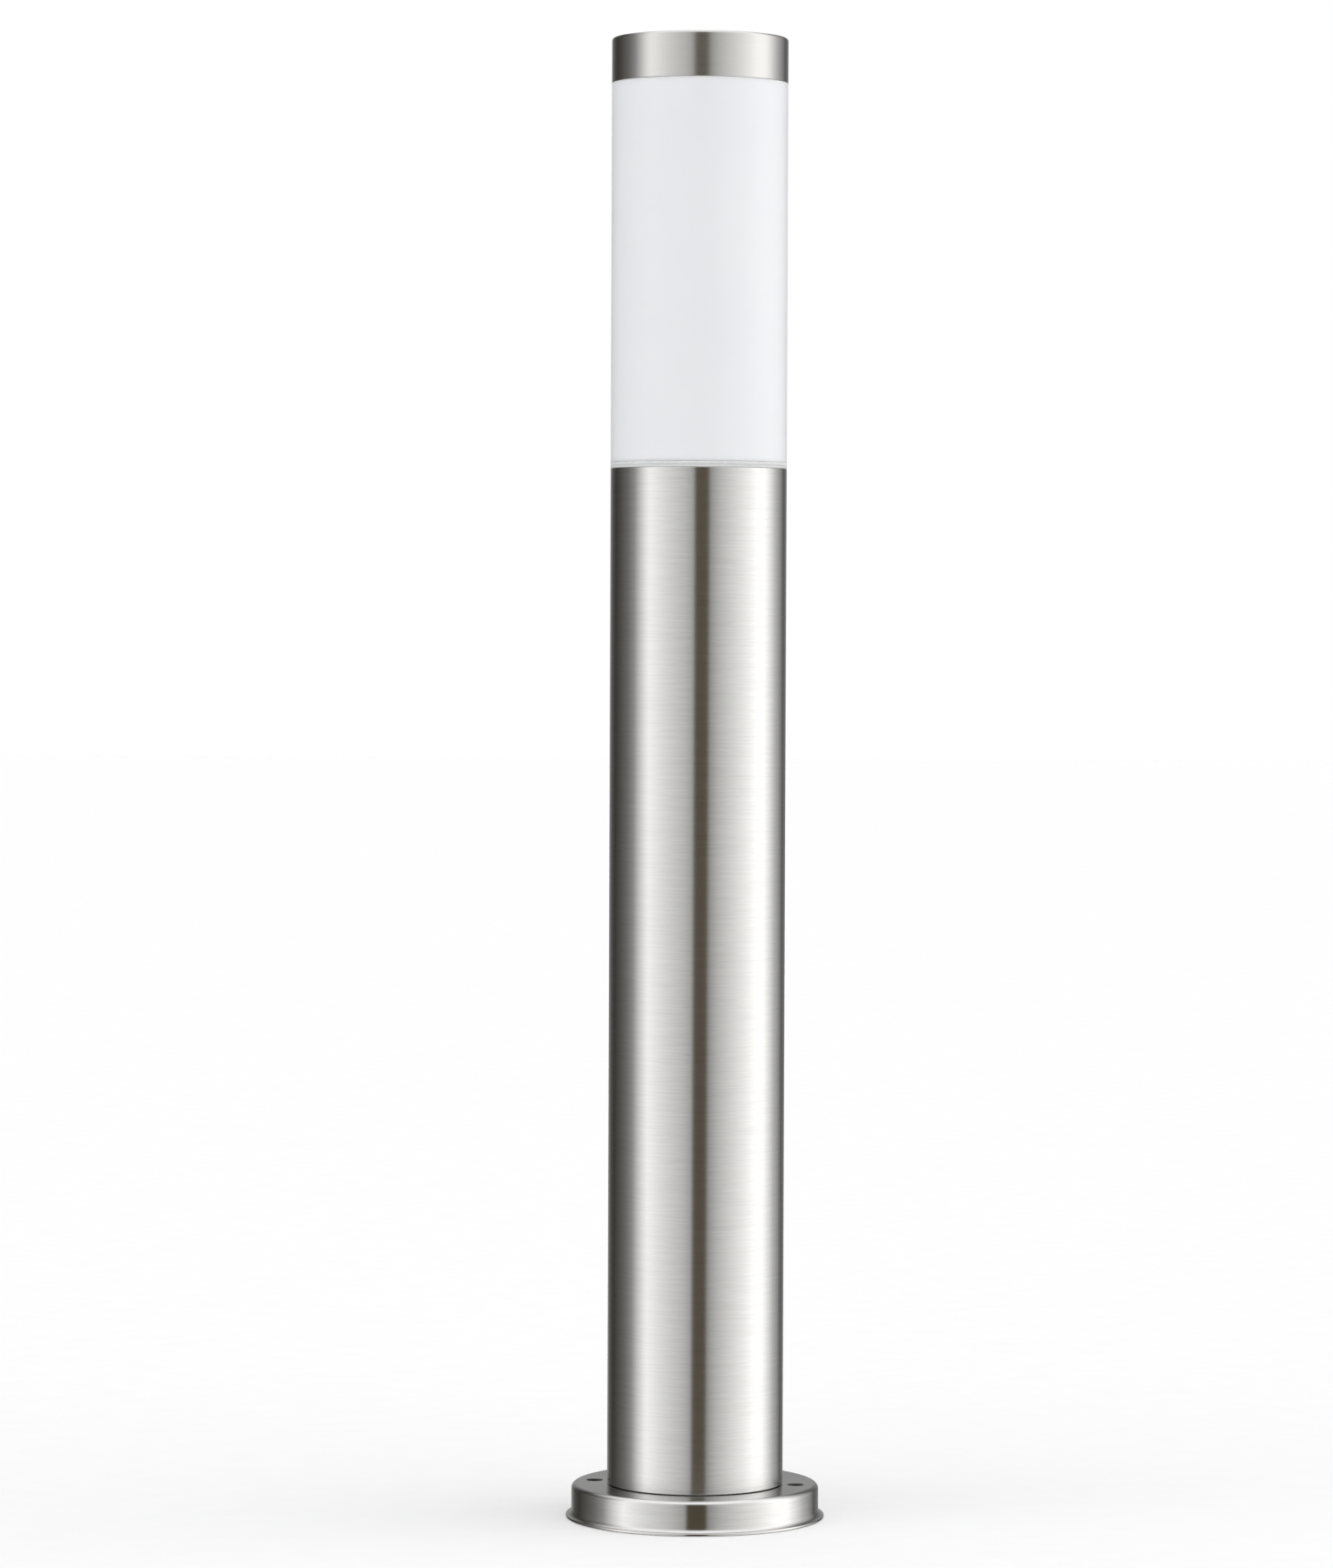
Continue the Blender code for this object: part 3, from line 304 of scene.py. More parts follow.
def combine(obj, others, operation):
    for other in others:
        modifier = obj.modifiers.new("combine", "BOOLEAN")
        modifier.solver = "EXACT"
        modifier.operation = operation
        modifier.object = other
    apply_modifiers(obj)
    for other in others:
        bpy.data.objects.remove(other)
    obj.data.shade_smooth()
    return obj


def cut(obj, cutters):
    return combine(obj, cutters, "DIFFERENCE")


def join(obj, others):
    return combine(obj, others, "UNION")


def place(obj, body, finish, nodes, flat_angle=35.0):
    """Gives a piece its shading, finish and body, and hides the CAD nodes that it stands for."""
    obj.data.set_sharp_from_angle(angle=math.radians(flat_angle))
    weighted = obj.modifiers.new("weighted_normals", "WEIGHTED_NORMAL")
    weighted.keep_sharp = True
    obj.data.materials.clear()
    obj.data.materials.append(finish.material)
    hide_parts(*nodes)
    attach(obj, body)
    return obj


def limits(node):
    """(outer radius, lowest z, highest z) of a CAD node that is centred on the post's axis."""
    low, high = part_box(node)
    return max(high.x, high.y), low.z, high.z


def spot(node):
    """(x, y, outer radius, lowest z, highest z) of a round CAD node that stands anywhere."""
    low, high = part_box(node)
    return (low.x + high.x) / 2, (low.y + high.y) / 2, (high.x - low.x) / 2, low.z, high.z


def middle(node):
    low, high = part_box(node)
    return (low + high) / 2


# ---- materials ----


class Nodes:
    """Short ways to add nodes to the tree of a material or of the world."""

    def __init__(self, tree):
        self.tree = tree

    def put(self, node, socket, value):
        if isinstance(value, bpy.types.NodeSocket):
            self.tree.links.new(value, node.inputs[socket])
        else:
            node.inputs[socket].default_value = value

    def node(self, kind, inputs=(), **settings):
        made = self.tree.nodes.new(kind)
        for key, value in settings.items():
            setattr(made, key, value)
        for socket, value in dict(inputs).items():
            self.put(made, socket, value)
        return made

    def maths(self, operation, first, second=0.0):
        return self.node("ShaderNodeMath", {0: first, 1: second}, operation=operation).outputs[0]

    def split(self, vector):
        return self.node("ShaderNodeSeparateXYZ", {"Vector": vector}).outputs

    def mapped(self, value, low, high, new_low=0.0, new_high=1.0, **settings):
        """A value that runs from low to high, made to run from a new low to a new high."""
        inputs = {"Value": value, "From Min": low, "From Max": high, "To Min": new_low, "To Max": new_high}
        return self.node("ShaderNodeMapRange", inputs, **settings).outputs[0]

    def blend(self, factor, first, second):
        inputs = {"Factor": factor, "A": first, "B": second}
        return self.node("ShaderNodeMix", inputs, data_type="RGBA").outputs["Result"]


class Finish(Nodes):
    """A slot of the record and the material that stands for it, with its Principled shader."""

    def __init__(self, slot, name, colour, roughness, metallic=0.0, **sockets):
        self.slot = slot
        self.material = bpy.data.materials.new(name)
        self.material.use_nodes = True
        self.material.diffuse_color = (*colour, 1.0)
        super().__init__(self.material.node_tree)
        self.shader = self.tree.nodes["Principled BSDF"]
        self.put(self.shader, "Base Color", (*colour, 1.0))
        self.put(self.shader, "Roughness", roughness)
        self.put(self.shader, "Metallic", metallic)
        for socket, value in sockets.items():
            self.put(self.shader, socket.replace("_", " "), value)
        # The object's own coordinates ride with it.
        self.here = self.node("ShaderNodeTexCoord").outputs["Object"]

    def scaled(self, vector, x, y, z):
        parts = {}
        for axis, part, scale in zip("XYZ", self.split(vector), (x, y, z)):
            parts[axis] = self.maths("MULTIPLY", part, scale)
        return self.node("ShaderNodeCombineXYZ", parts).outputs[0]

    def noise(self, vector, scale, detail=3.0, roughness=0.55):
        inputs = {"Vector": vector, "Scale": scale, "Detail": detail, "Roughness": roughness}
        return self.node("ShaderNodeTexNoise", inputs).outputs["Fac"]

    def tints(self, factor, low, high, start=0.3, end=0.7):
        """A colour that runs from low to high as the factor runs from start to end."""
        ramp = self.node("ShaderNodeValToRGB", {"Fac": factor})
        for element, position, colour in zip(ramp.color_ramp.elements, (start, end), (low, high)):
            element.position = position
            element.color = (*colour, 1.0)
        return ramp.outputs["Color"]

    def bump(self, height, distance):
        made = self.node("ShaderNodeBump", {"Height": height, "Distance": distance})
        self.put(self.shader, "Normal", made.outputs[0])

    def colour(self, value):
        self.put(self.shader, "Base Color", value)

    def roughness(self, factor, low, high):
        """Roughness from low to high with a noise, which keeps near one half."""
        self.put(self.shader, "Roughness", self.mapped(factor, 0.3, 0.7, low, high))


def shade(colour, factor):
    return tuple(min(1.0, c * factor) for c in colour)


def brushed_steel(name, roughness, tint, lines, lean=0.0):
    """Stainless steel brushed round the post: fine lines at a height, and circles on a flat top.

    Lines is how strongly the brushing shows. Lean is a slope to one side, for a pressed piece, which
    isn't quite true.
    """
    steel = Finish("brushed_steel", name, tint, roughness, 1.0, Anisotropic=0.95, Anisotropic_Rotation=0.25)
    x, y, z = steel.split(steel.here)
    across = steel.maths("MULTIPLY", x, x)
    along = steel.maths("MULTIPLY", y, y)
    radius = steel.maths("SQRT", steel.maths("ADD", across, along))
    line = steel.node("ShaderNodeCombineXYZ", {"X": x, "Y": y, "Z": steel.maths("SUBTRACT", z, radius)})
    fine = steel.noise(steel.scaled(line.outputs[0], 55.0, 55.0, 1300.0), 1.0, 4.0, 0.65)
    broad = steel.noise(steel.scaled(line.outputs[0], 30.0, 30.0, 420.0), 1.0, 3.0, 0.5)
    grain = steel.noise(steel.here, 1400.0, 2.0, 0.5)
    fine_share = steel.maths("MULTIPLY", fine, 0.75)
    both = steel.maths("ADD", fine_share, steel.maths("MULTIPLY", broad, 0.25))
    steel.colour(steel.tints(both, shade(tint, 1.0 - 0.05 * lines), shade(tint, 1.0 + 0.04 * lines)))
    change = 0.08 * lines * roughness
    steel.roughness(both, roughness - change, roughness + change)
    tangent = steel.node("ShaderNodeTangent", direction_type="RADIAL", axis="Z")
    steel.put(steel.shader, "Tangent", tangent.outputs[0])
    depth = 0.008 * MM * lines
    relief = steel.maths("ADD", fine, steel.maths("MULTIPLY", grain, 0.12))
    steel.bump(steel.maths("SUBTRACT", relief, steel.maths("MULTIPLY", x, lean / depth)), depth)
    return steel


def punched_edge_and_shade(name):
    """The torn, unpolished wall of a punched hole, made far darker than such steel is: partly the edge's own
    dullness, partly painted shade inside the hole.
    """
    # Near black: painted shade inside the fixing holes, on top of the edge's own dull tone.
    colour = (0.10, 0.10, 0.10)
    edge = Finish("brushed_steel", name, colour, 0.6, 0.7)
    tears = edge.noise(edge.scaled(edge.here, 1600.0, 1600.0, 200.0), 1.0, 3.0, 0.6)
    edge.colour(edge.tints(tears, shade(colour, 0.6), shade(colour, 1.3)))
    edge.roughness(tears, 0.5, 0.75)
    edge.bump(tears, 0.00004)
    return edge


def metal(slot, name, colour, dull, roughness, cloud_scale=90.0):
    """Small turned, pressed or plated metal: dull clouds, a fine grain and short handling marks."""
    made = Finish(slot, name, colour, roughness, 1.0)
    clouds = made.noise(made.here, cloud_scale, 4.0, 0.6)
    marks = made.noise(made.scaled(made.here, 900.0, 140.0, 500.0), 1.0, 3.0, 0.6)
    grain = made.noise(made.here, 3500.0, 2.0, 0.5)
    made.colour(made.tints(clouds, dull, colour))
    made.roughness(made.maths("MULTIPLY", clouds, marks), roughness * 1.5, roughness * 0.7)
    made.bump(made.maths("ADD", grain, marks), 0.000006)
    return made


def opal_plastic(name, colour, roughness, depth, gloss):
    """Opal acrylic, which light soaks into, with a satin skin."""
    opal = Finish(
        "opal_plastic", name, colour, roughness, Subsurface_Weight=1.0, Subsurface_Scale=depth,
        Subsurface_Radius=(1.0, 0.95, 0.9), Specular_IOR_Level=gloss, Sheen_Weight=0.3,
    )
    cloud = opal.noise(opal.here, 22.0, 2.0, 0.5)
    satin = opal.noise(opal.here, 900.0, 2.0, 0.5)
    opal.colour(opal.tints(cloud, shade(colour, 0.985), colour))
    opal.roughness(satin, roughness * 0.9, roughness * 1.12)
    opal.bump(satin, 0.000004)
    return opal


def silicone(name, colour, depth):
    rubber = Finish("silicone", name, colour, 0.5, Subsurface_Weight=0.4, Subsurface_Scale=depth)
    dust = rubber.noise(rubber.here, 350.0, 3.0, 0.6)
    rubber.colour(rubber.tints(dust, shade(colour, 0.93), shade(colour, 1.03)))
    rubber.roughness(dust, 0.42, 0.58)
    rubber.bump(dust, 0.00001)
    return rubber


def moulded_plastic(name, colour, roughness):
    """Moulded plastic with a spark-eroded skin and faint flow marks."""
    made = Finish("white_plastic", name, colour, roughness, Subsurface_Weight=0.12, Subsurface_Scale=0.002)
    flow = made.noise(made.scaled(made.here, 30.0, 30.0, 90.0), 1.0, 3.0, 0.5)
    skin_grain = made.noise(made.here, 2200.0, 3.0, 0.6)
    made.colour(made.tints(flow, shade(colour, 0.96), shade(colour, 1.02)))
    made.roughness(skin_grain, roughness * 0.85, roughness * 1.15)
    made.bump(skin_grain, 0.00002)
    return made


def porcelain(name):
    """Glazed porcelain: a clear glossy coat, a warm body, and a few dark specks."""
    colour = (0.84, 0.83, 0.79)
    made = Finish("porcelain", name, colour, 0.3, Coat_Weight=0.8, Coat_Roughness=0.06, Coat_IOR=1.5)
    ripple = made.noise(made.here, 160.0, 2.0, 0.5)
    specks = made.noise(made.here, 1500.0, 1.0, 0.5)
    made.colour(made.tints(specks, (0.30, 0.26, 0.20), colour, 0.20, 0.26))
    made.roughness(ripple, 0.24, 0.36)
    made.bump(ripple, 0.00006)
    return made


def black_rubber(name):
    colour = (0.022, 0.022, 0.023)
    made = Finish("black_rubber", name, colour, 0.7)
    bloom = made.noise(made.here, 120.0, 4.0, 0.65)
    grain = made.noise(made.here, 1800.0, 2.0, 0.5)
    made.colour(made.tints(bloom, colour, (0.05, 0.05, 0.052)))
    made.roughness(bloom, 0.6, 0.8)
    made.bump(grain, 0.00004)
    return made


def black_glass(name):
    """The fused glass of a lamp cap: nearly black, violet where it is thin, and rippled."""
    colour = (0.012, 0.010, 0.016)
    made = Finish("black_glass", name, colour, 0.08, Coat_Weight=0.5, Coat_Roughness=0.03)
    ripple = made.noise(made.here, 260.0, 2.0, 0.5)
    made.colour(made.tints(ripple, (0.010, 0.009, 0.013), (0.030, 0.022, 0.045)))
    made.roughness(ripple, 0.05, 0.14)
    made.bump(ripple, 0.00008)
    return made


def insulation(slot, name, colour, stripe=None):
    """The PVC of a lead. A stripe runs along the side of it that faces one way."""
    made = Finish(slot, name, colour, 0.42)
    scuffs = made.noise(made.here, 500.0, 3.0, 0.6)
    body = made.tints(scuffs, shade(colour, 0.85), shade(colour, 1.1))
    if stripe:
        normal = made.node("ShaderNodeTexCoord").outputs["Normal"]
        stripe_side = (0.80, -0.55, 0.24)
        facing = made.node("ShaderNodeVectorMath", {0: normal, 1: stripe_side}, operation="DOT_PRODUCT")
        edge = made.mapped(facing.outputs["Value"], 0.32, 0.36)
        body = made.blend(edge, body, made.tints(scuffs, shade(stripe, 0.85), shade(stripe, 1.1)))
    made.colour(body)
    made.roughness(scuffs, 0.36, 0.5)
    made.bump(scuffs, 0.00002)
    return made


def circuit_board(name):
    """White solder resist over copper, whose tracks show through faintly."""
    made = Finish("white_plastic", name, (0.82, 0.83, 0.80), 0.3)
    tracks = made.node("ShaderNodeTexVoronoi", {"Vector": made.here, "Scale": 160.0})
    made.colour(made.tints(tracks.outputs["Distance"], (0.70, 0.72, 0.67), (0.84, 0.85, 0.83), 0.1, 0.3))
    resist = made.noise(made.here, 700.0, 2.0, 0.5)
    made.roughness(resist, 0.24, 0.36)
    made.bump(tracks.outputs["Distance"], 0.00002)
    return made


def phosphor(name):
    colour = (0.88, 0.70, 0.14)
    made = Finish("opal_plastic", name, colour, 0.4, Subsurface_Weight=0.3, Subsurface_Scale=0.0005)
    powder = made.noise(made.here, 2600.0, 3.0, 0.6)
    made.colour(made.tints(powder, (0.80, 0.60, 0.10), (0.92, 0.76, 0.20)))
    made.roughness(powder, 0.34, 0.5)
    made.bump(powder, 0.00002)
    return made


# ---- stage ----


def camera():
    data = bpy.data.cameras.new("camera")
    data.sensor_width = SENSOR
    data.lens = FOCAL_PIXELS / FRAME_PIXELS * SENSOR
    data.shift_x = SHIFT_RIGHT
    data.shift_y = SHIFT_UP
    made = bpy.data.objects.new("camera", data)
    made.location = (0.0, -CAMERA_DISTANCE, EYE_HEIGHT)
    made.rotation_euler = (math.pi / 2 - PITCH_DOWN, ROLL, 0.0)
    scene.collection.objects.link(made)
    scene.camera = made


TOP_LIGHT = (0.84, 0.84, 0.85)  # of the brightest bank
TOP_EDGES = (0.50, 0.90)  # the sines of the heights where the banks end and the top is whole
# The light round the studio, at degrees from the camera's side towards the right.
STUDIO = (
    (-180, 0.36, 0.36, 0.36),
    (-165, 0.28, 0.28, 0.28),
    (-152, 0.102, 0.10, 0.094),
    (-137, 0.052, 0.05, 0.044),
    (-122, 0.110, 0.107, 0.099),
    (-106, 0.20, 0.197, 0.190),
    (-93, 0.38, 0.38, 0.378),
    (-80, 0.95, 0.95, 0.945),
    (-68, 1.41, 1.41, 1.40),
    (-45, 1.05, 1.05, 1.05),
    (-18, 0.72, 0.72, 0.71),
    (-6, 0.50, 0.50, 0.49),
    (-4, 0.104, 0.086, 0.058),
    (13, 0.104, 0.086, 0.058),
    (15, 0.38, 0.38, 0.37),
    (28, 0.68, 0.68, 0.67),
    (47, 0.98, 0.98, 0.97),
    (68, 1.32, 1.32, 1.31),
    (82, 1.61, 1.61, 1.60),
    (98, 1.65, 1.65, 1.64),
    (122, 0.68, 0.68, 0.68),
    (148, 0.12, 0.12, 0.12),
    (165, 0.22, 0.22, 0.22),
    (180, 0.36, 0.36, 0.36),
)


def studio_light():
    """Soft banks of light left and right of the camera, dark flags behind the object, and a soft top."""
    world = bpy.data.worlds.new("studio")
    scene.world = world
    world.use_nodes = True
    world.node_tree.nodes.clear()
    studio = Nodes(world.node_tree)
    x, y, z = studio.split(studio.node("ShaderNodeTexCoord").outputs["Generated"])
    around = studio.maths("ARCTAN2", x, studio.maths("MULTIPLY", y, -1.0))
    banks = studio.node("ShaderNodeValToRGB", {"Fac": studio.mapped(around, -math.pi, math.pi)})
    elements = banks.color_ramp.elements
    while len(elements) < len(STUDIO):
        elements.new(0.5)
    brightest = max(max(colour) for _, *colour in STUDIO)
    for element, (degrees, *colour) in zip(elements, STUDIO):
        element.position = (degrees + 180) / 360
        element.color = (*(c / brightest for c in colour), 1.0)
    height = studio.mapped(z, *TOP_EDGES, interpolation_type="SMOOTHSTEP")
    light = studio.node("ShaderNodeBackground", {"Strength": brightest})
    studio.put(light, "Color", studio.blend(height, banks.outputs["Color"], (*TOP_LIGHT, 1.0)))
    white = studio.node("ShaderNodeBackground", {"Color": (1.0, 1.0, 1.0, 1.0)})
    seen = studio.node("ShaderNodeLightPath").outputs["Is Camera Ray"]
    both = studio.node("ShaderNodeMixShader", {0: seen, 1: light.outputs[0], 2: white.outputs[0]})
    studio.node("ShaderNodeOutputWorld", {"Surface": both.outputs[0]})


def floor():
    """A pale floor. The steel doesn't mirror it."""
    half = 12.0
    edit = bmesh.new()
    bmesh.ops.create_grid(edit, x_segments=8, y_segments=8, size=half)
    made = from_bmesh("floor", edit)
    made.location.z = -0.2 * MM
    paper = Finish(None, "floor_paper", (0.97, 0.97, 0.97), 0.9)
    paper.put(paper.shader, "Specular IOR Level", 0.0)
    tooth = paper.noise(paper.here, 60.0, 3.0, 0.5)
    paper.colour(paper.tints(tooth, (0.96, 0.96, 0.96), (0.975, 0.975, 0.975)))
    made.data.materials.append(paper.material)
    made.visible_glossy = False


# ---- pieces that show ----


def fixing_points():
    """The centres of the two fixing holes, opposite each other."""
    for degrees in (FIXING_HOLES_TURN, FIXING_HOLES_TURN + 180.0):
        turn = math.radians(degrees)
        yield FIXING_HOLES_OUT * math.cos(turn), FIXING_HOLES_OUT * math.sin(turn)


def base_flange(steel, punched):
    """The drawn flange: flat top, rounded shoulder, wall and flared lip, with two pierced holes."""
    lip, bottom, collar_top = limits("base_flange")
    _, foot, _ = limits("post_tube")
    top = foot - GAP
    sheet = 1.0 * MM
    wall = lip - 2.4 * MM
    collar_r = 36.3 * MM
    lip_top = bottom + sheet
    flare_width, flare_height = 1.8 * MM, 2.8 * MM
    flare_r, flare_z = wall + flare_width, lip_top + flare_height
    over = arc(flare_r, flare_z, flare_width, flare_height, 180, 270, 10)
    under = arc(flare_r, flare_z, flare_width + sheet, flare_height + sheet, 270, 180, 10)
    corners = [
        (collar_r - sheet, collar_top, 0.4 * MM),
        (collar_r, collar_top, 0.4 * MM),
        (collar_r, top, 0.5 * MM),
        (wall, top, 2.3 * MM),
        *[(r, z, 0.0) for r, z in over],
        (lip, lip_top, 0.45 * MM),
        (lip, bottom, 0.45 * MM),
        *[(r, z, 0.0) for r, z in under],
        (wall - sheet, top - sheet, 1.6 * MM),
        (collar_r - sheet, top - sheet, 0.8 * MM),
    ]
    piece = lathe("base_flange_drawn", rounded(corners, 8))
    hole = FIXING_HOLE_R
    rim = 0.12 * MM
    outline = [
        (0.0, top + 3.0 * MM),
        (hole + 2 * rim, top + 3.0 * MM),
        (hole + 2 * rim, top),
        (hole + rim, top - 0.2 * rim),
        (hole, top - rim),
        (hole, top - 4.0 * MM),
        (0.0, top - 4.0 * MM),
    ]
    centres = list(fixing_points())
    cut(piece, [lathe("hole", outline, 64, x, y) for x, y in centres])
    place(piece, "post", steel, ["base_flange"])
    # The walls of the fixing holes get the dark edge material: painted shade inside the holes, partly the
    # edge's own dullness.
    piece.data.materials.append(punched.material)
    for face in piece.data.polygons:
        x, y, z = face.center
        away = min(math.hypot(x - hole_x, y - hole_y) for hole_x, hole_y in centres)
        if z < top - 0.5 * rim and away < hole + 0.5 * rim:
            face.material_index = 1


def post_tube(steel):
    outer, bottom, top = limits("post_tube")
    wall = 1.2 * MM
    piece = lathe("post_tube_brushed", square_ring(outer - wall, outer, bottom, top, 0.25 * MM, 4))
    place(piece, "post", steel, ["post_tube"])


def head_seal(grey):
    outer, bottom, top = limits("head_seal")
    inner = 32.9 * MM
    low = bottom - GAP + FIT
    piece = lathe("head_seal_ring", square_ring(inner, outer, low, top, 0.12 * MM, 5))
    place(piece, "seal", grey, ["head_seal"], 60.0)


def diffuser(opal):
    """An opal beaker, mouth down, with a neck at each end and three bayonet lugs on the lower one."""
    outer, bottom, top = limits("diffuser")
    _, _, shoulder = limits("head_seal")
    _, cap_edge, _ = limits("top_cap")
    wall = 2.4 * MM
    neck = 32.6 * MM
    cap_neck = outer - 1.2 * MM
    stud_hole = 2.3 * MM
    low = shoulder + FIT
    corners = [
        (stud_hole, top, 0.2 * MM),
        (cap_neck, top, 1.6 * MM),
        (cap_neck, cap_edge - FIT, 0.3 * MM),
        (outer, cap_edge - FIT, 0.2 * MM),
        (outer, low, 0.2 * MM),
        (neck, low, 0.5 * MM),
        (neck, bottom, 0.5 * MM),
        (neck - wall, bottom, 0.5 * MM),
        (neck - wall, low + wall, 1.5 * MM),
        (outer - wall, low + 2 * wall, 1.5 * MM),
        (outer - wall, cap_edge - wall, 1.5 * MM),
        (cap_neck - wall, cap_edge, 1.0 * MM),
        (cap_neck - wall, top - wall, 1.5 * MM),
        (stud_hole, top - wall, 0.2 * MM),
    ]
    piece = lathe("diffuser_opal", rounded(corners, 6))
    lug_low = bottom + LUG_LIFT
    lugs = []
    for angle in BAYONET_ANGLES:
        outline = sector(neck - 0.6 * MM, LUG_R, angle - LUG_HALF_ANGLE, angle + LUG_HALF_ANGLE)
        lugs.append(bevel(prism("lug", outline, lug_low, lug_low + LUG_HEIGHT), 0.4 * MM))
    join(piece, lugs)
    place(piece, "head", opal, ["diffuser"], 40.0)


def top_cap(steel):
    outer, bottom, top = limits("top_cap")
    sheet = 0.8 * MM
    corners = [
        (0.0, top, 0.0),
        (outer, top, 1.2 * MM),
        (outer, bottom, 0.3 * MM),
        (outer - sheet, bottom, 0.3 * MM),
        (outer - sheet, top - sheet, 0.5 * MM),
        (0.0, top - sheet, 0.0),
    ]
    piece = lathe("top_cap_drawn", rounded(corners, 7))
    place(piece, "head", steel, ["top_cap"])


def lamp_carrier(plastic):
    """A moulded cup hung on the tube's edge, with a ledge and a stop for each of the head's lugs."""
    rim_r, bottom, top = limits("lamp_carrier")
    _, neck_end, _ = limits("diffuser")
    body_r = 36.5 * MM
    bore_r = 34.5 * MM
    floor_top = bottom + CARRIER_FLOOR
    _, _, tube_top = limits("post_tube")
    rim_bottom = tube_top + FIT
    corners = [
        (0.0, floor_top, 0.0),
        (bore_r, floor_top, 1.5 * MM),
        (bore_r, top, 0.25 * MM),
        (rim_r, top, 0.12 * MM),
        (rim_r, rim_bottom, 0.12 * MM),
        (body_r, rim_bottom, 0.2 * MM),
        (body_r, bottom, 1.2 * MM),
        (0.0, bottom, 0.0),
    ]
    piece = lathe("lamp_carrier_moulded", rounded(corners, 5))
    ledge_r = 33.0 * MM
    wall = bore_r + 0.6 * MM
    stop_low = neck_end + LUG_LIFT
    ledge_low = stop_low + LUG_HEIGHT + 0.6 * MM
    ledge_high = ledge_low + 3.5 * MM
    ribs = []
    for angle in BAYONET_ANGLES:
        ledge = sector(ledge_r, wall, angle - 97.5, angle - 22.5, 40)
        stop = sector(ledge_r, wall, angle - 97.5, angle - 77.0)
        ribs.append(prism("ledge", ledge, ledge_low, ledge_high))
        ribs.append(prism("stop", stop, stop_low, ledge_low + 0.6 * MM))
    join(piece, ribs)
    holes = drill_for(RODS, ROD_HOLE_R, bottom, floor_top)
    holes += drill_for(HOLDER_SCREWS, HOLDER_SCREW_HOLE_R, bottom, floor_top)
    lead_hole_r = 2.0 * MM
    holes += [drill_down(lead_hole_r, x, 0.0, bottom, floor_top) for x in (-LEAD_X, LEAD_X)]
    cut(piece, holes)
    place(piece, "post", plastic, ["lamp_carrier"])


# ---- fasteners ----


def washer(node, bore_r, finish, body="post"):
    x, y, outer, bottom, top = spot(node)
    corners = [
        (bore_r, bottom, 0.10 * MM),
        (outer, bottom, 0.10 * MM),
        (outer, top, 0.25 * MM),
        (bore_r, top, 0.25 * MM),
    ]
    piece = lathe(f"{node}_pressed", rounded(corners, 3), SMALL, x, y)
    place(piece, body, finish, [node])


def toothed_washer(finish):
    """A lock washer: a ring whose rim is cut into teeth."""
    x, y, outer, bottom, top = spot("earth_washer")
    teeth = 12
    outline = []
    for k in range(4 * teeth):
        a = math.tau * k / (4 * teeth)
        r = outer if k % 4 in (0, 1) else outer - 0.9 * MM
        outline.append((x + r * math.cos(a), y + r * math.sin(a)))
    piece = prism("earth_washer_toothed", outline, bottom, top)
    cut(piece, [drill_down(EARTH_HOLE_R, x, y, bottom, top)])
    bevel(piece, 0.08 * MM, 2)
    place(piece, "post", finish, ["earth_washer"])


def hex_nut(node, bore_r, finish, body="post"):
    """A hexagon nut, chamfered at its corners and countersunk at both ends of its bore."""
    x, y, corner, bottom, top = spot(node)
    flat = corner * math.cos(math.pi / 6)
    chamfer = 0.5 * (corner - flat) + 0.1 * MM
    turns = [math.pi / 3 * k for k in range(6)]
    hexagon = [(x + corner * math.cos(a), y + corner * math.sin(a)) for a in turns]
    piece = prism(f"{node}_chamfered", hexagon, bottom - MM, top + MM)
    envelope = [
        (0.0, bottom),
        (flat - 0.1 * MM, bottom),
        (corner + 0.1 * MM, bottom + chamfer),
        (corner + 0.1 * MM, top - chamfer),
        (flat - 0.1 * MM, top),
        (0.0, top),
    ]
    combine(piece, [lathe("envelope", envelope, MEDIUM, x, y)], "INTERSECT")
    cut(piece, [sunk_bore(bore_r, bottom, top, 0.3 * MM, x, y)])
    place(piece, body, finish, [node], 20.0)


def pan_screw(node, head_height, shank_r, finish, faces_front=False):
    """A slotted screw with a domed head and a rolled thread, its head up or towards the front."""
    low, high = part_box(node)
    head_r = (high.x - low.x) / 2
    length = (high.y - low.y) if faces_front else (high.z - low.z)
    tip = [(0.0, -length), (shank_r - 0.3 * MM, -length)]
    threads = [(0.2 * MM - length, -head_height - 0.4 * MM, shank_r, shank_r - SCREW_THREAD_DEPTH)]
    fillet = 0.45 * head_height
    dome = arc(head_r - fillet, -fillet, fillet, fillet, 0, 90, 6)
    head = [(shank_r, -head_height), (head_r - 0.1 * MM, -head_height), (head_r, 0.1 * MM - head_height)]
    piece = threaded_bar(f"{node}_rolled", tip, threads, head + dome + [(0.0, 0.0)], FINE_PITCH)
    half = head_r * 0.14
    driver = rectangle(-2 * head_r, -half, 2 * head_r, half)
    cut(piece, [prism("driver_slot", driver, -0.5 * head_height, MM)])
    seat = middle(node)
    if faces_front:
        seat.y = low.y
        turn = Matrix.Rotation(math.pi / 2, 4, "X")
    else:
        seat.z = high.z
        turn = Matrix.Identity(4)
    piece.data.transform(Matrix.Translation(seat) @ turn)
    place(piece, "post", finish, [node])


def tie_rod(node, finish):
    """A steel rod with a rolled thread at each end."""
    x, y, rod_r, bottom, top = spot(node)
    root = rod_r - 0.45 * MM
    chamfer = 0.4 * MM
    length = 16.0 * MM
    threads = [
        (bottom + chamfer, bottom + length, rod_r, root),
        (top - length, top - chamfer, rod_r, root),
    ]
    foot = [(0.0, bottom), (root, bottom)]
    piece = threaded_bar(f"{node}_threaded", foot, threads, [(root, top), (0.0, top)], METRIC_PITCH, x, y)
    place(piece, "post", finish, [node])


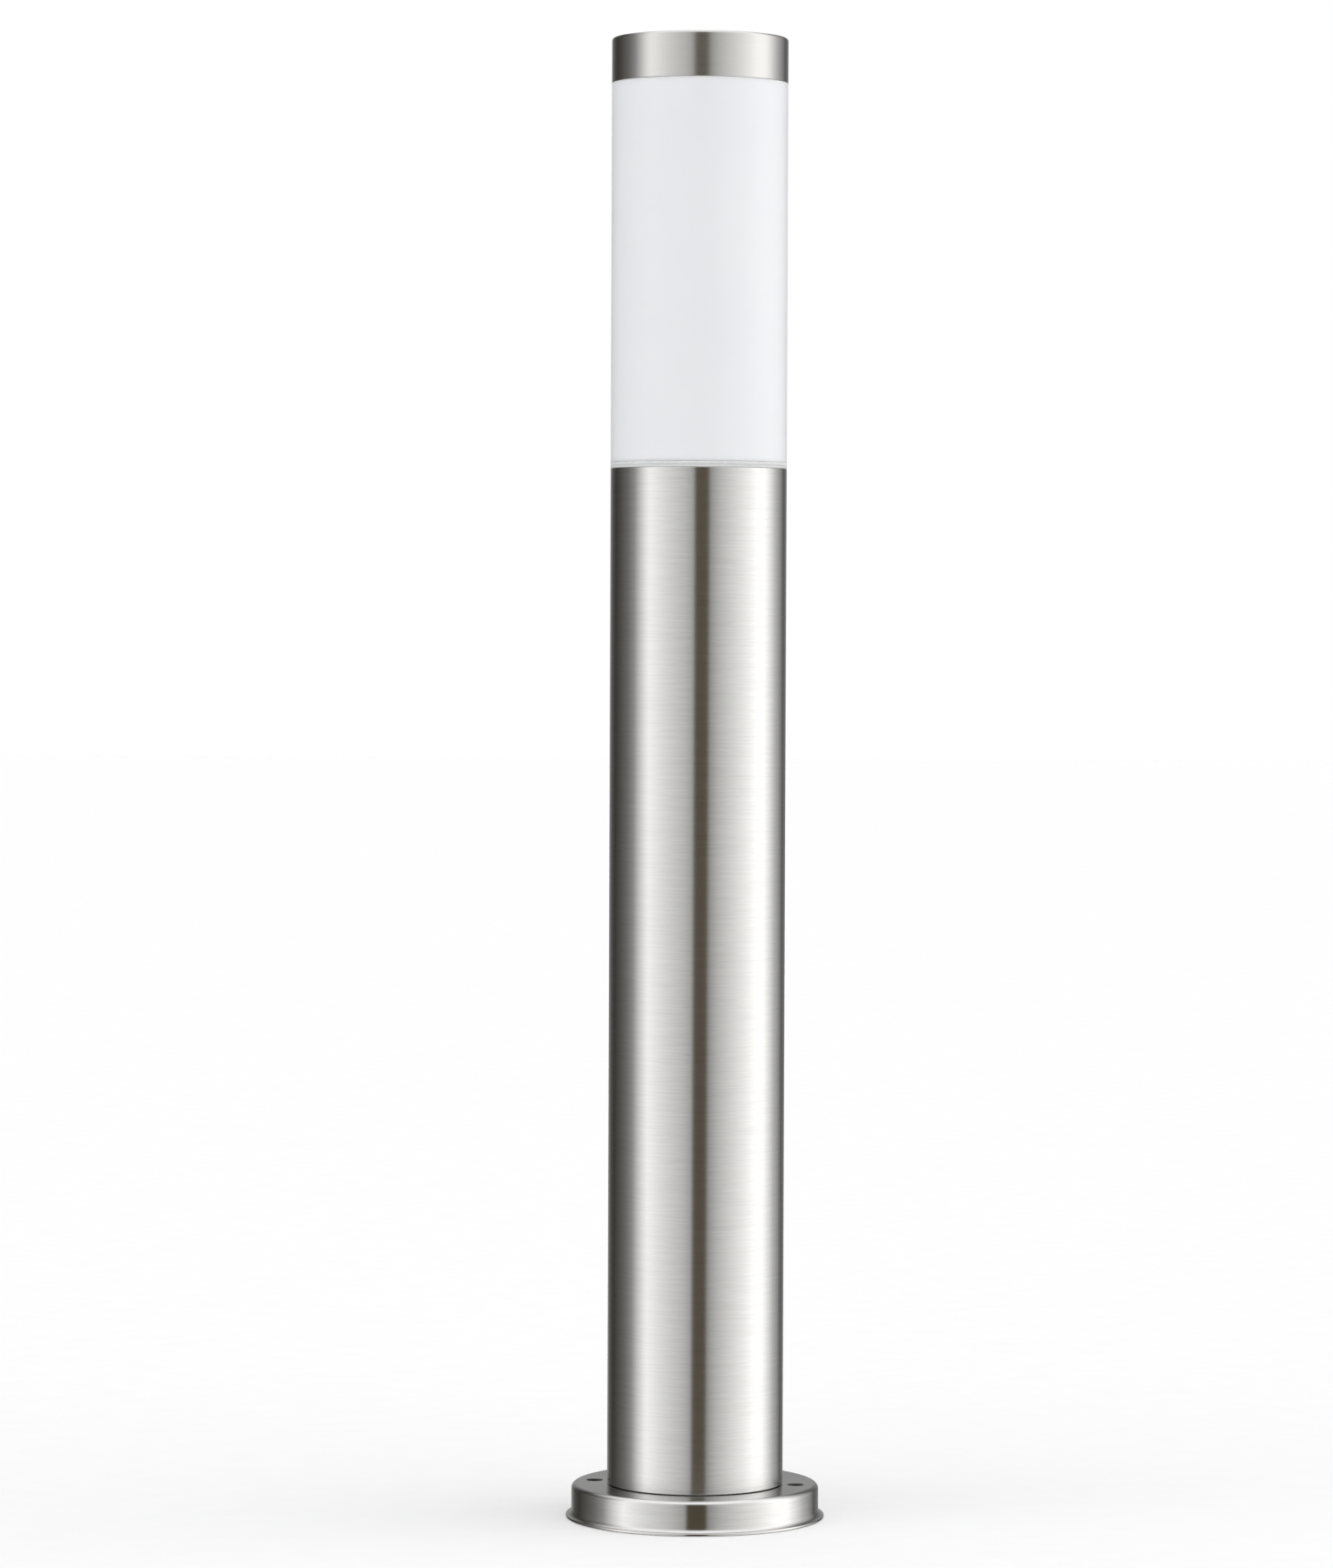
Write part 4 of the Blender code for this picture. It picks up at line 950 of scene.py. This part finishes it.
def cap_fixings(zinc, rubber):
    """The cap's welded stud, with the nut and the sealing washer under the diffuser's end."""
    head_r, bottom, top = limits("cap_stud")
    stud_r = 2.0 * MM
    root = stud_r - SCREW_THREAD_DEPTH
    head_low = top - 1.0 * MM
    foot = [(0.0, bottom), (root, bottom)]
    threads = [(bottom + 0.3 * MM, head_low - 0.3 * MM, stud_r, root)]
    head = [
        (stud_r, head_low),
        (head_r - 0.2 * MM, head_low),
        (head_r, head_low + 0.2 * MM),
        (head_r, top - 0.2 * MM),
        (head_r - 0.2 * MM, top),
        (0.0, top),
    ]
    stud = threaded_bar("cap_stud_welded", foot, threads, head, 0.7 * MM)
    place(stud, "head", zinc, ["cap_stud"])
    washer("cap_washer", stud_r + GAP, rubber, "head")
    hex_nut("cap_nut", stud_r + GAP, zinc, "head")


# ---- base plate and terminals ----


def base_plate(finish):
    """A zinc-plated disc under the flange, with a hole for everything that goes through it."""
    outer, bottom, top = limits("base_plate")
    inner = 11.0 * MM
    piece = lathe("base_plate_pressed", square_ring(inner, outer, bottom, top, 0.3 * MM, 4))
    holes = [drill_down(FIXING_HOLE_R, x, y, bottom, top, SMALL) for x, y in fixing_points()]
    holes += drill_for(RODS, ROD_HOLE_R, bottom, top)
    holes += drill_for(RIVETS, RIVET_R + GAP, bottom, top)
    holes += drill_for(["earth_screw"], EARTH_HOLE_R, bottom, top)
    cut(piece, holes)
    place(piece, "post", finish, ["base_plate"])


def cable_grommet(rubber):
    """A moulded grommet, held by its groove, whose sleeve grips the supply cable."""
    lip, bottom, top = limits("cable_grommet")
    _, plate_bottom, plate_top = limits("base_plate")
    low, high = plate_bottom - GAP, plate_top + GAP
    bore = 5.0 * MM
    groove = 10.7 * MM
    corners = [
        (bore, bottom, 0.5 * MM),
        (lip, bottom, 0.9 * MM),
        (lip, low, 0.3 * MM),
        (groove, low, 0.3 * MM),
        (groove, high, 0.3 * MM),
        (lip, high, 0.3 * MM),
        (lip - 0.8 * MM, high + 1.6 * MM, 0.6 * MM),
        (bore + 2.6 * MM, high + 2.4 * MM, 1.5 * MM),
        (bore + 1.4 * MM, top, 0.5 * MM),
        (bore, top, 0.4 * MM),
    ]
    piece = lathe("cable_grommet_moulded", rounded(corners, 5), MEDIUM)
    place(piece, "post", rubber, ["cable_grommet"], 50.0)


def earth_lug(finish):
    """A ring terminal with its barrel crimped flat."""
    low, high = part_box("earth_lug")
    x, y, *_ = spot("earth_washer")
    ring_r = 4.0 * MM
    half_tongue = 1.6 * MM
    start = math.asin(half_tongue / ring_r)
    steps = 40
    outline = [(high.x, y - half_tongue), (high.x, y + half_tongue)]
    for k in range(steps + 1):
        a = start + (math.tau - 2 * start) * k / steps
        outline.append((x + ring_r * math.cos(a), y + ring_r * math.sin(a)))
    piece = prism("earth_lug_crimped", outline, low.z, high.z)
    cut(piece, [drill_down(EARTH_HOLE_R, x, y, low.z, high.z)])
    bevel(piece, 0.12 * MM, 2)
    place(piece, "post", finish, ["earth_lug"])


def terminal_bracket(finish):
    """A strip bent to an L: its foot is riveted to the base plate and its leg carries the block."""
    low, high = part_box("terminal_bracket")
    sheet = 1.5 * MM
    bend = 1.0 * MM
    end = 0.2 * MM
    corners = [
        (low.y, low.z, bend + sheet),
        (high.y, low.z, end),
        (high.y, low.z + sheet, end),
        (low.y + sheet, low.z + sheet, bend),
        (low.y + sheet, high.z, end),
        (low.y, high.z, end),
    ]
    piece = prism("terminal_bracket_bent", rounded(corners, 6), low.x, high.x, "X")
    x, _, z = middle("terminal_block_screw")
    holes = [drill(BLOCK_SCREW_HOLE_R, (x, low.y - MM, z), (x, low.y + sheet + MM, z))]
    holes += drill_for(RIVETS, RIVET_R + GAP, low.z, low.z + sheet)
    cut(piece, holes)
    bevel(piece, 0.15 * MM, 2)
    place(piece, "post", finish, ["terminal_bracket"])


def bracket_rivet(node, finish):
    x, y, head_r, bottom, top = spot(node)
    head_low = top - 1.2 * MM
    tail_high = bottom + 1.0 * MM
    corners = [
        (0.0, top, 0.0),
        (head_r * 0.75, top, 1.0 * MM),
        (head_r, head_low, 0.1 * MM),
        (RIVET_R, head_low, 0.0),
        (RIVET_R, tail_high, 0.0),
        (head_r, tail_high, 0.1 * MM),
        (head_r * 0.9, bottom, 0.6 * MM),
        (0.0, bottom, 0.0),
    ]
    piece = lathe(f"{node}_set", rounded(corners, 5), SMALL, x, y)
    place(piece, "post", finish, [node], 50.0)


def terminal_block(plastic):
    """A three-pole block: a groove between the poles, a well for each screw, a funnel for each lead."""
    low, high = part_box("terminal_block")
    outline = rectangle(low.x, low.y, high.x, high.y)
    piece = bevel(prism("terminal_block_moulded", outline, low.z, high.z), 0.9 * MM, 4)
    cutters = []
    half = 0.7 * MM
    depth = 1.1 * MM
    groove_x = 5.0 * MM
    well_r = 2.3 * MM
    for x in (-groove_x, groove_x):
        groove = [(x - half, low.y - MM), (x + half, low.y - MM), (x + half / 2, low.y + depth)]
        groove.append((x - half / 2, low.y + depth))
        cutters.append(prism("groove", groove, low.z - MM, high.z + MM))
    for pole in POLES:
        sleeve_x, sleeve_y, sleeve_r, _, _ = spot(f"terminal_sleeve_{pole}")
        cutters.append(sunk_bore(sleeve_r + GAP, low.z, high.z, 0.7 * MM, sleeve_x, sleeve_y))
        for level in ("lower", "upper"):
            x, _, z = middle(f"terminal_screw_{pole}_{level}")
            cutters.append(drill(well_r, (x, low.y - MM, z), (x, sleeve_y, z)))
    x, _, z = middle("terminal_block_screw")
    cutters.append(drill(BLOCK_SCREW_HOLE_R, (x, low.y - MM, z), (x, high.y + MM, z)))
    cut(piece, cutters)
    place(piece, "post", plastic, ["terminal_block"])


def terminal_sleeve(pole, finish):
    """A brass pillar with a bore for the lead and two holes for its clamping screws."""
    node = f"terminal_sleeve_{pole}"
    x, y, outer, bottom, top = spot(node)
    bore = 1.9 * MM
    piece = lathe(f"{node}_turned", square_ring(bore, outer, bottom, top, 0.2 * MM, 3), SMALL, x, y)
    holes = []
    for level in ("lower", "upper"):
        screw_x, _, z = middle(f"terminal_screw_{pole}_{level}")
        holes.append(drill(1.5 * MM, (screw_x, y - 2 * outer, z), (screw_x, y, z)))
    cut(piece, holes)
    place(piece, "post", finish, [node])


def lead(node, finish):
    """The CAD model's lead, which is eight-sided, made smooth."""
    piece = bpy.data.objects.new(f"{node}_lead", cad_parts[node].data.copy())
    scene.collection.objects.link(piece)
    weld = piece.modifiers.new("weld", "WELD")
    weld.merge_threshold = 0.01 * MM
    smooth = piece.modifiers.new("smooth", "SUBSURF")
    smooth.levels = 2
    apply_modifiers(piece)
    piece.data.shade_smooth()
    place(piece, "post", finish, [node], 60.0)


# ---- lampholder and lamp ----


def lampholder_body(glaze):
    """A porcelain cup: foot, waist and rim, with a well for the lamp."""
    foot_r, base, top = limits("lampholder_body")
    well = base + 12.0 * MM
    well_r = 14.7 * MM
    waist_r = 19.5 * MM
    rim_r = 20.3 * MM
    corners = [
        (0.0, well, 0.0),
        (well_r, well, 1.0 * MM),
        (well_r, top, 1.4 * MM),
        (rim_r, top, 1.4 * MM),
        (rim_r, top - 4.5 * MM, 0.8 * MM),
        (waist_r, top - 5.2 * MM, 1.5 * MM),
        (waist_r, base + 18.0 * MM, 3.0 * MM),
        (foot_r, base + 14.0 * MM, 1.5 * MM),
        (foot_r, base, 0.8 * MM),
        (0.0, base, 0.0),
    ]
    piece = lathe("lampholder_body_glazed", rounded(corners, 6), 2 * MEDIUM)
    lead_hole_r = 1.8 * MM
    holes = [drill_down(lead_hole_r, x, 0.0, base, well) for x in (-LEAD_X, LEAD_X)]
    holes += drill_for(HOLDER_SCREWS, HOLDER_SCREW_HOLE_R, base, well)
    cut(piece, holes)
    place(piece, "post", glaze, ["lampholder_body"])


def lampholder_shell(finish):
    """The threaded shell, rolled from sheet, which the lamp screws into."""
    _, base, _ = limits("lampholder_body")
    _, low, high = limits("lampholder_shell")
    sheet = 0.45 * MM
    crest = 13.6 * MM + sheet
    root = crest - LAMP_THREAD_DEPTH
    piece = threaded_sleeve("lampholder_shell_rolled", low, high, crest, root, sheet, base)
    place(piece, "post", finish, ["lampholder_shell"])


def contact_strips(finish):
    """The centre contact, a sprung tongue, and the strap that feeds the threaded shell."""
    sheet = 0.6 * MM
    low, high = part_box("lampholder_contact")
    foot, top = low.z, high.z
    bend = 0.8 * MM
    end = 0.1 * MM
    tongue = [
        (-10.5 * MM, foot, end),
        (-4.0 * MM, foot, bend),
        (-1.0 * MM, top - sheet - 1.0 * MM, bend),
        (0.5 * MM, top - sheet, bend),
        (3.4 * MM, top - sheet, bend),
        (5.0 * MM, top - 2.4 * MM, end),
        (5.6 * MM, top - 2.2 * MM, end),
        (3.8 * MM, top, bend),
        (0.0, top, bend),
        (-1.7 * MM, top - 1.3 * MM, bend),
        (-4.5 * MM, foot + sheet, bend),
        (-10.5 * MM, foot + sheet, end),
    ]
    contact = prism("lampholder_contact_bent", rounded(tongue, 4), low.y, high.y, "Y")
    place(bevel(contact, 0.08 * MM, 2), "post", finish, ["lampholder_contact"])
    low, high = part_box("lampholder_strap")
    profile = [
        (low.x, low.z, end),
        (high.x, low.z, 1.2 * MM),
        (high.x, high.z, end),
        (high.x - sheet, high.z, end),
        (high.x - sheet, low.z + sheet, 0.6 * MM),
        (low.x, low.z + sheet, end),
    ]
    strap = prism("lampholder_strap_bent", rounded(profile, 4), low.y, high.y, "Y")
    place(bevel(strap, 0.08 * MM, 2), "post", finish, ["lampholder_strap"])


def lamp_foot(nickel, glass):
    """The lamp's centre contact with its solder, the glass round it, and the screw cap."""
    tip_r, bottom, top = limits("lamp_tip")
    corners = [(0.0, top, 0.0), (tip_r, top, 0.2 * MM), (tip_r, bottom + 0.9 * MM, 0.6 * MM)]
    corners += [(3.0 * MM, bottom, 0.8 * MM), (0.0, bottom, 0.0)]
    tip = lathe("lamp_tip_soldered", rounded(corners, 5), MEDIUM)
    place(tip, "lamp_seat", nickel, ["lamp_tip"], 50.0)
    glass_r, bottom, top = limits("lamp_insulator")
    corners = [
        (0.0, top, 0.0),
        (glass_r, top, 0.2 * MM),
        (9.6 * MM, bottom + 1.6 * MM, 1.5 * MM),
        (5.2 * MM, bottom, 0.6 * MM),
        (0.0, bottom, 0.0),
    ]
    insulator = lathe("lamp_insulator_fused", rounded(corners, 6), MEDIUM)
    place(insulator, "lamp", glass, ["lamp_insulator"], 50.0)
    _, base, _ = limits("lampholder_body")
    _, low, high = limits("lamp_screw_cap")
    root = 12.1 * MM
    crest = root + LAMP_THREAD_DEPTH
    cap = threaded_sleeve("lamp_screw_cap_rolled", low, high, crest, root, 0.35 * MM, base)
    place(cap, "lamp", nickel, ["lamp_screw_cap"])


def lamp_housing(plastic):
    """The lamp's moulded cone, with a step where the globe is glued on."""
    shoulder, foot, top = limits("lamp_housing")
    skin_t = 1.3 * MM
    neck = 12.9 * MM
    waist = 18.0 * MM
    waist_z = foot + 15.0 * MM
    seat = top - 2.0 * MM
    corners = [
        (neck, foot, 0.4 * MM),
        (neck + 0.4 * MM, foot + 4.0 * MM, 3.0 * MM),
        (waist, waist_z, 12.0 * MM),
        (shoulder, seat - 1.5 * MM, 1.2 * MM),
        (shoulder, top, 0.4 * MM),
        (shoulder - skin_t, top, 0.2 * MM),
        (shoulder - skin_t, seat - GAP, 0.0),
        (shoulder - 2 * skin_t, seat - GAP, 0.2 * MM),
        (waist - skin_t, waist_z, 12.0 * MM),
        (neck - skin_t, foot + 4.0 * MM, 3.0 * MM),
        (neck - skin_t, foot, 0.2 * MM),
    ]
    piece = lathe("lamp_housing_moulded", rounded(corners, 8), 2 * MEDIUM)
    place(piece, "lamp", plastic, ["lamp_housing"])


def lamp_board(resist, yellow):
    """The lamp's board, with a ring of light-emitting packages round its middle."""
    board_r, bottom, top = limits("lamp_board")
    edge = 0.1 * MM
    corners = [(0.0, bottom, 0.0), (board_r, bottom, edge), (board_r, top, edge), (0.0, top, 0.0)]
    board = lathe("lamp_board_printed", rounded(corners, 2), MEDIUM)
    place(board, "lamp", resist, ["lamp_board"])
    half_x, half_y = 1.4 * MM, 1.75 * MM
    package = rectangle(-half_x, -half_y, half_x, half_y)
    low, high = top + 0.05 * MM, top + 0.75 * MM
    ring_r = 14.0 * MM
    count = 10
    made = []
    for k in range(count):
        chip = bevel(prism("chip", package, low, high), 0.15 * MM, 2)
        turn = Matrix.Rotation(math.tau * k / count, 4, "Z")
        chip.data.transform(turn @ Matrix.Translation((ring_r, 0.0, 0.0)))
        made.append(chip)
    with bpy.context.temp_override(active_object=made[0], selected_editable_objects=made):
        bpy.ops.object.join()
    made[0].name = "lamp_board_chips"
    place(made[0], "lamp", yellow, [])


def lamp_globe(opal):
    """A ball open underneath, glued to the housing's rim."""
    globe_r, rim, top = limits("lamp_globe")
    skin_t = 1.3 * MM
    centre = top - globe_r
    steps = 40
    outline = []
    for r, order in ((globe_r, 1), (globe_r - skin_t, -1)):
        lowest = math.degrees(math.asin((rim - centre) / r))
        curve = arc(0.0, centre, r, r, 90, lowest, steps)
        curve[0] = (0.0, centre + r)
        outline += curve[::order]
    piece = lathe("lamp_globe_blown", outline, 2 * MEDIUM)
    place(piece, "lamp", opal, ["lamp_globe"])


# ---- assembly ----

camera()
studio_light()
floor()
scene.view_settings.view_transform = "Standard"

tube_steel = brushed_steel("steel_brushed", 0.22, (0.655, 0.65, 0.64), 1.5)
cap_steel = brushed_steel("steel_cap", 0.28, (0.615, 0.605, 0.59), 0.5, 0.02)
flange_steel = brushed_steel("steel_flange", 0.15, (0.63, 0.625, 0.615), 1.5, 0.025)
zinc = metal("zinc_steel", "zinc_plate", (0.60, 0.62, 0.63), (0.47, 0.49, 0.50), 0.34, 60.0)
brass = metal("brass", "brass_bare", (0.78, 0.59, 0.27), (0.62, 0.43, 0.19), 0.30)
nickel = metal("nickel", "nickel_plate", (0.72, 0.70, 0.64), (0.61, 0.59, 0.53), 0.22)
rubber = black_rubber("rubber_black")

base_flange(flange_steel, punched_edge_and_shade("steel_punched_and_shade"))
post_tube(tube_steel)
head_seal(silicone("silicone_grey", (0.775, 0.775, 0.78), 0.001))
diffuser(opal_plastic("opal", (0.884, 0.895, 0.928), 0.22, 0.002, 0.35))
top_cap(cap_steel)
lamp_carrier(moulded_plastic("plastic_light_grey", (0.70, 0.70, 0.705), 0.45))

base_plate(zinc)
cable_grommet(rubber)
for side in ("left", "right"):
    tie_rod(f"tie_rod_{side}", zinc)
    for level in ("base", "carrier"):
        hex_nut(f"{level}_nut_{side}", ROD_HOLE_R, zinc)
        washer(f"{level}_washer_{side}", ROD_HOLE_R, zinc)
    bracket_rivet(f"bracket_rivet_{side}", zinc)
toothed_washer(zinc)
earth_lug(brass)
pan_screw("earth_screw", 2.6 * MM, 2.0 * MM, brass)
terminal_bracket(zinc)
terminal_block(moulded_plastic("plastic_block", (0.80, 0.79, 0.755), 0.4))
for pole in POLES:
    terminal_sleeve(pole, brass)
    for level in ("lower", "upper"):
        pan_screw(f"terminal_screw_{pole}_{level}", 1.2 * MM, 1.2 * MM, zinc, faces_front=True)
pan_screw("terminal_block_screw", 1.4 * MM, 1.5 * MM, zinc, faces_front=True)
lead("wire_live", insulation("brown_lead", "lead_brown", (0.17, 0.075, 0.035)))
lead("wire_neutral", insulation("blue_lead", "lead_blue", (0.04, 0.14, 0.42)))
yellow = (0.85, 0.70, 0.06)
lead("earth_wire", insulation("green_lead", "lead_green_yellow", (0.05, 0.33, 0.08), yellow))

lampholder_body(porcelain("porcelain_glazed"))
lampholder_shell(nickel)
contact_strips(brass)
for side in ("front", "back"):
    pan_screw(f"lampholder_screw_{side}", 2.4 * MM, 2.0 * MM, zinc)
    hex_nut(f"lampholder_nut_{side}", HOLDER_SCREW_HOLE_R, zinc)
lamp_foot(nickel, black_glass("glass_black"))
lamp_housing(moulded_plastic("plastic_white", (0.78, 0.78, 0.775), 0.45))
lamp_board(circuit_board("board_white"), phosphor("phosphor_yellow"))
lamp_globe(opal_plastic("opal_lamp", (0.86, 0.86, 0.85), 0.3, 0.0015, 0.5))
cap_fixings(zinc, rubber)
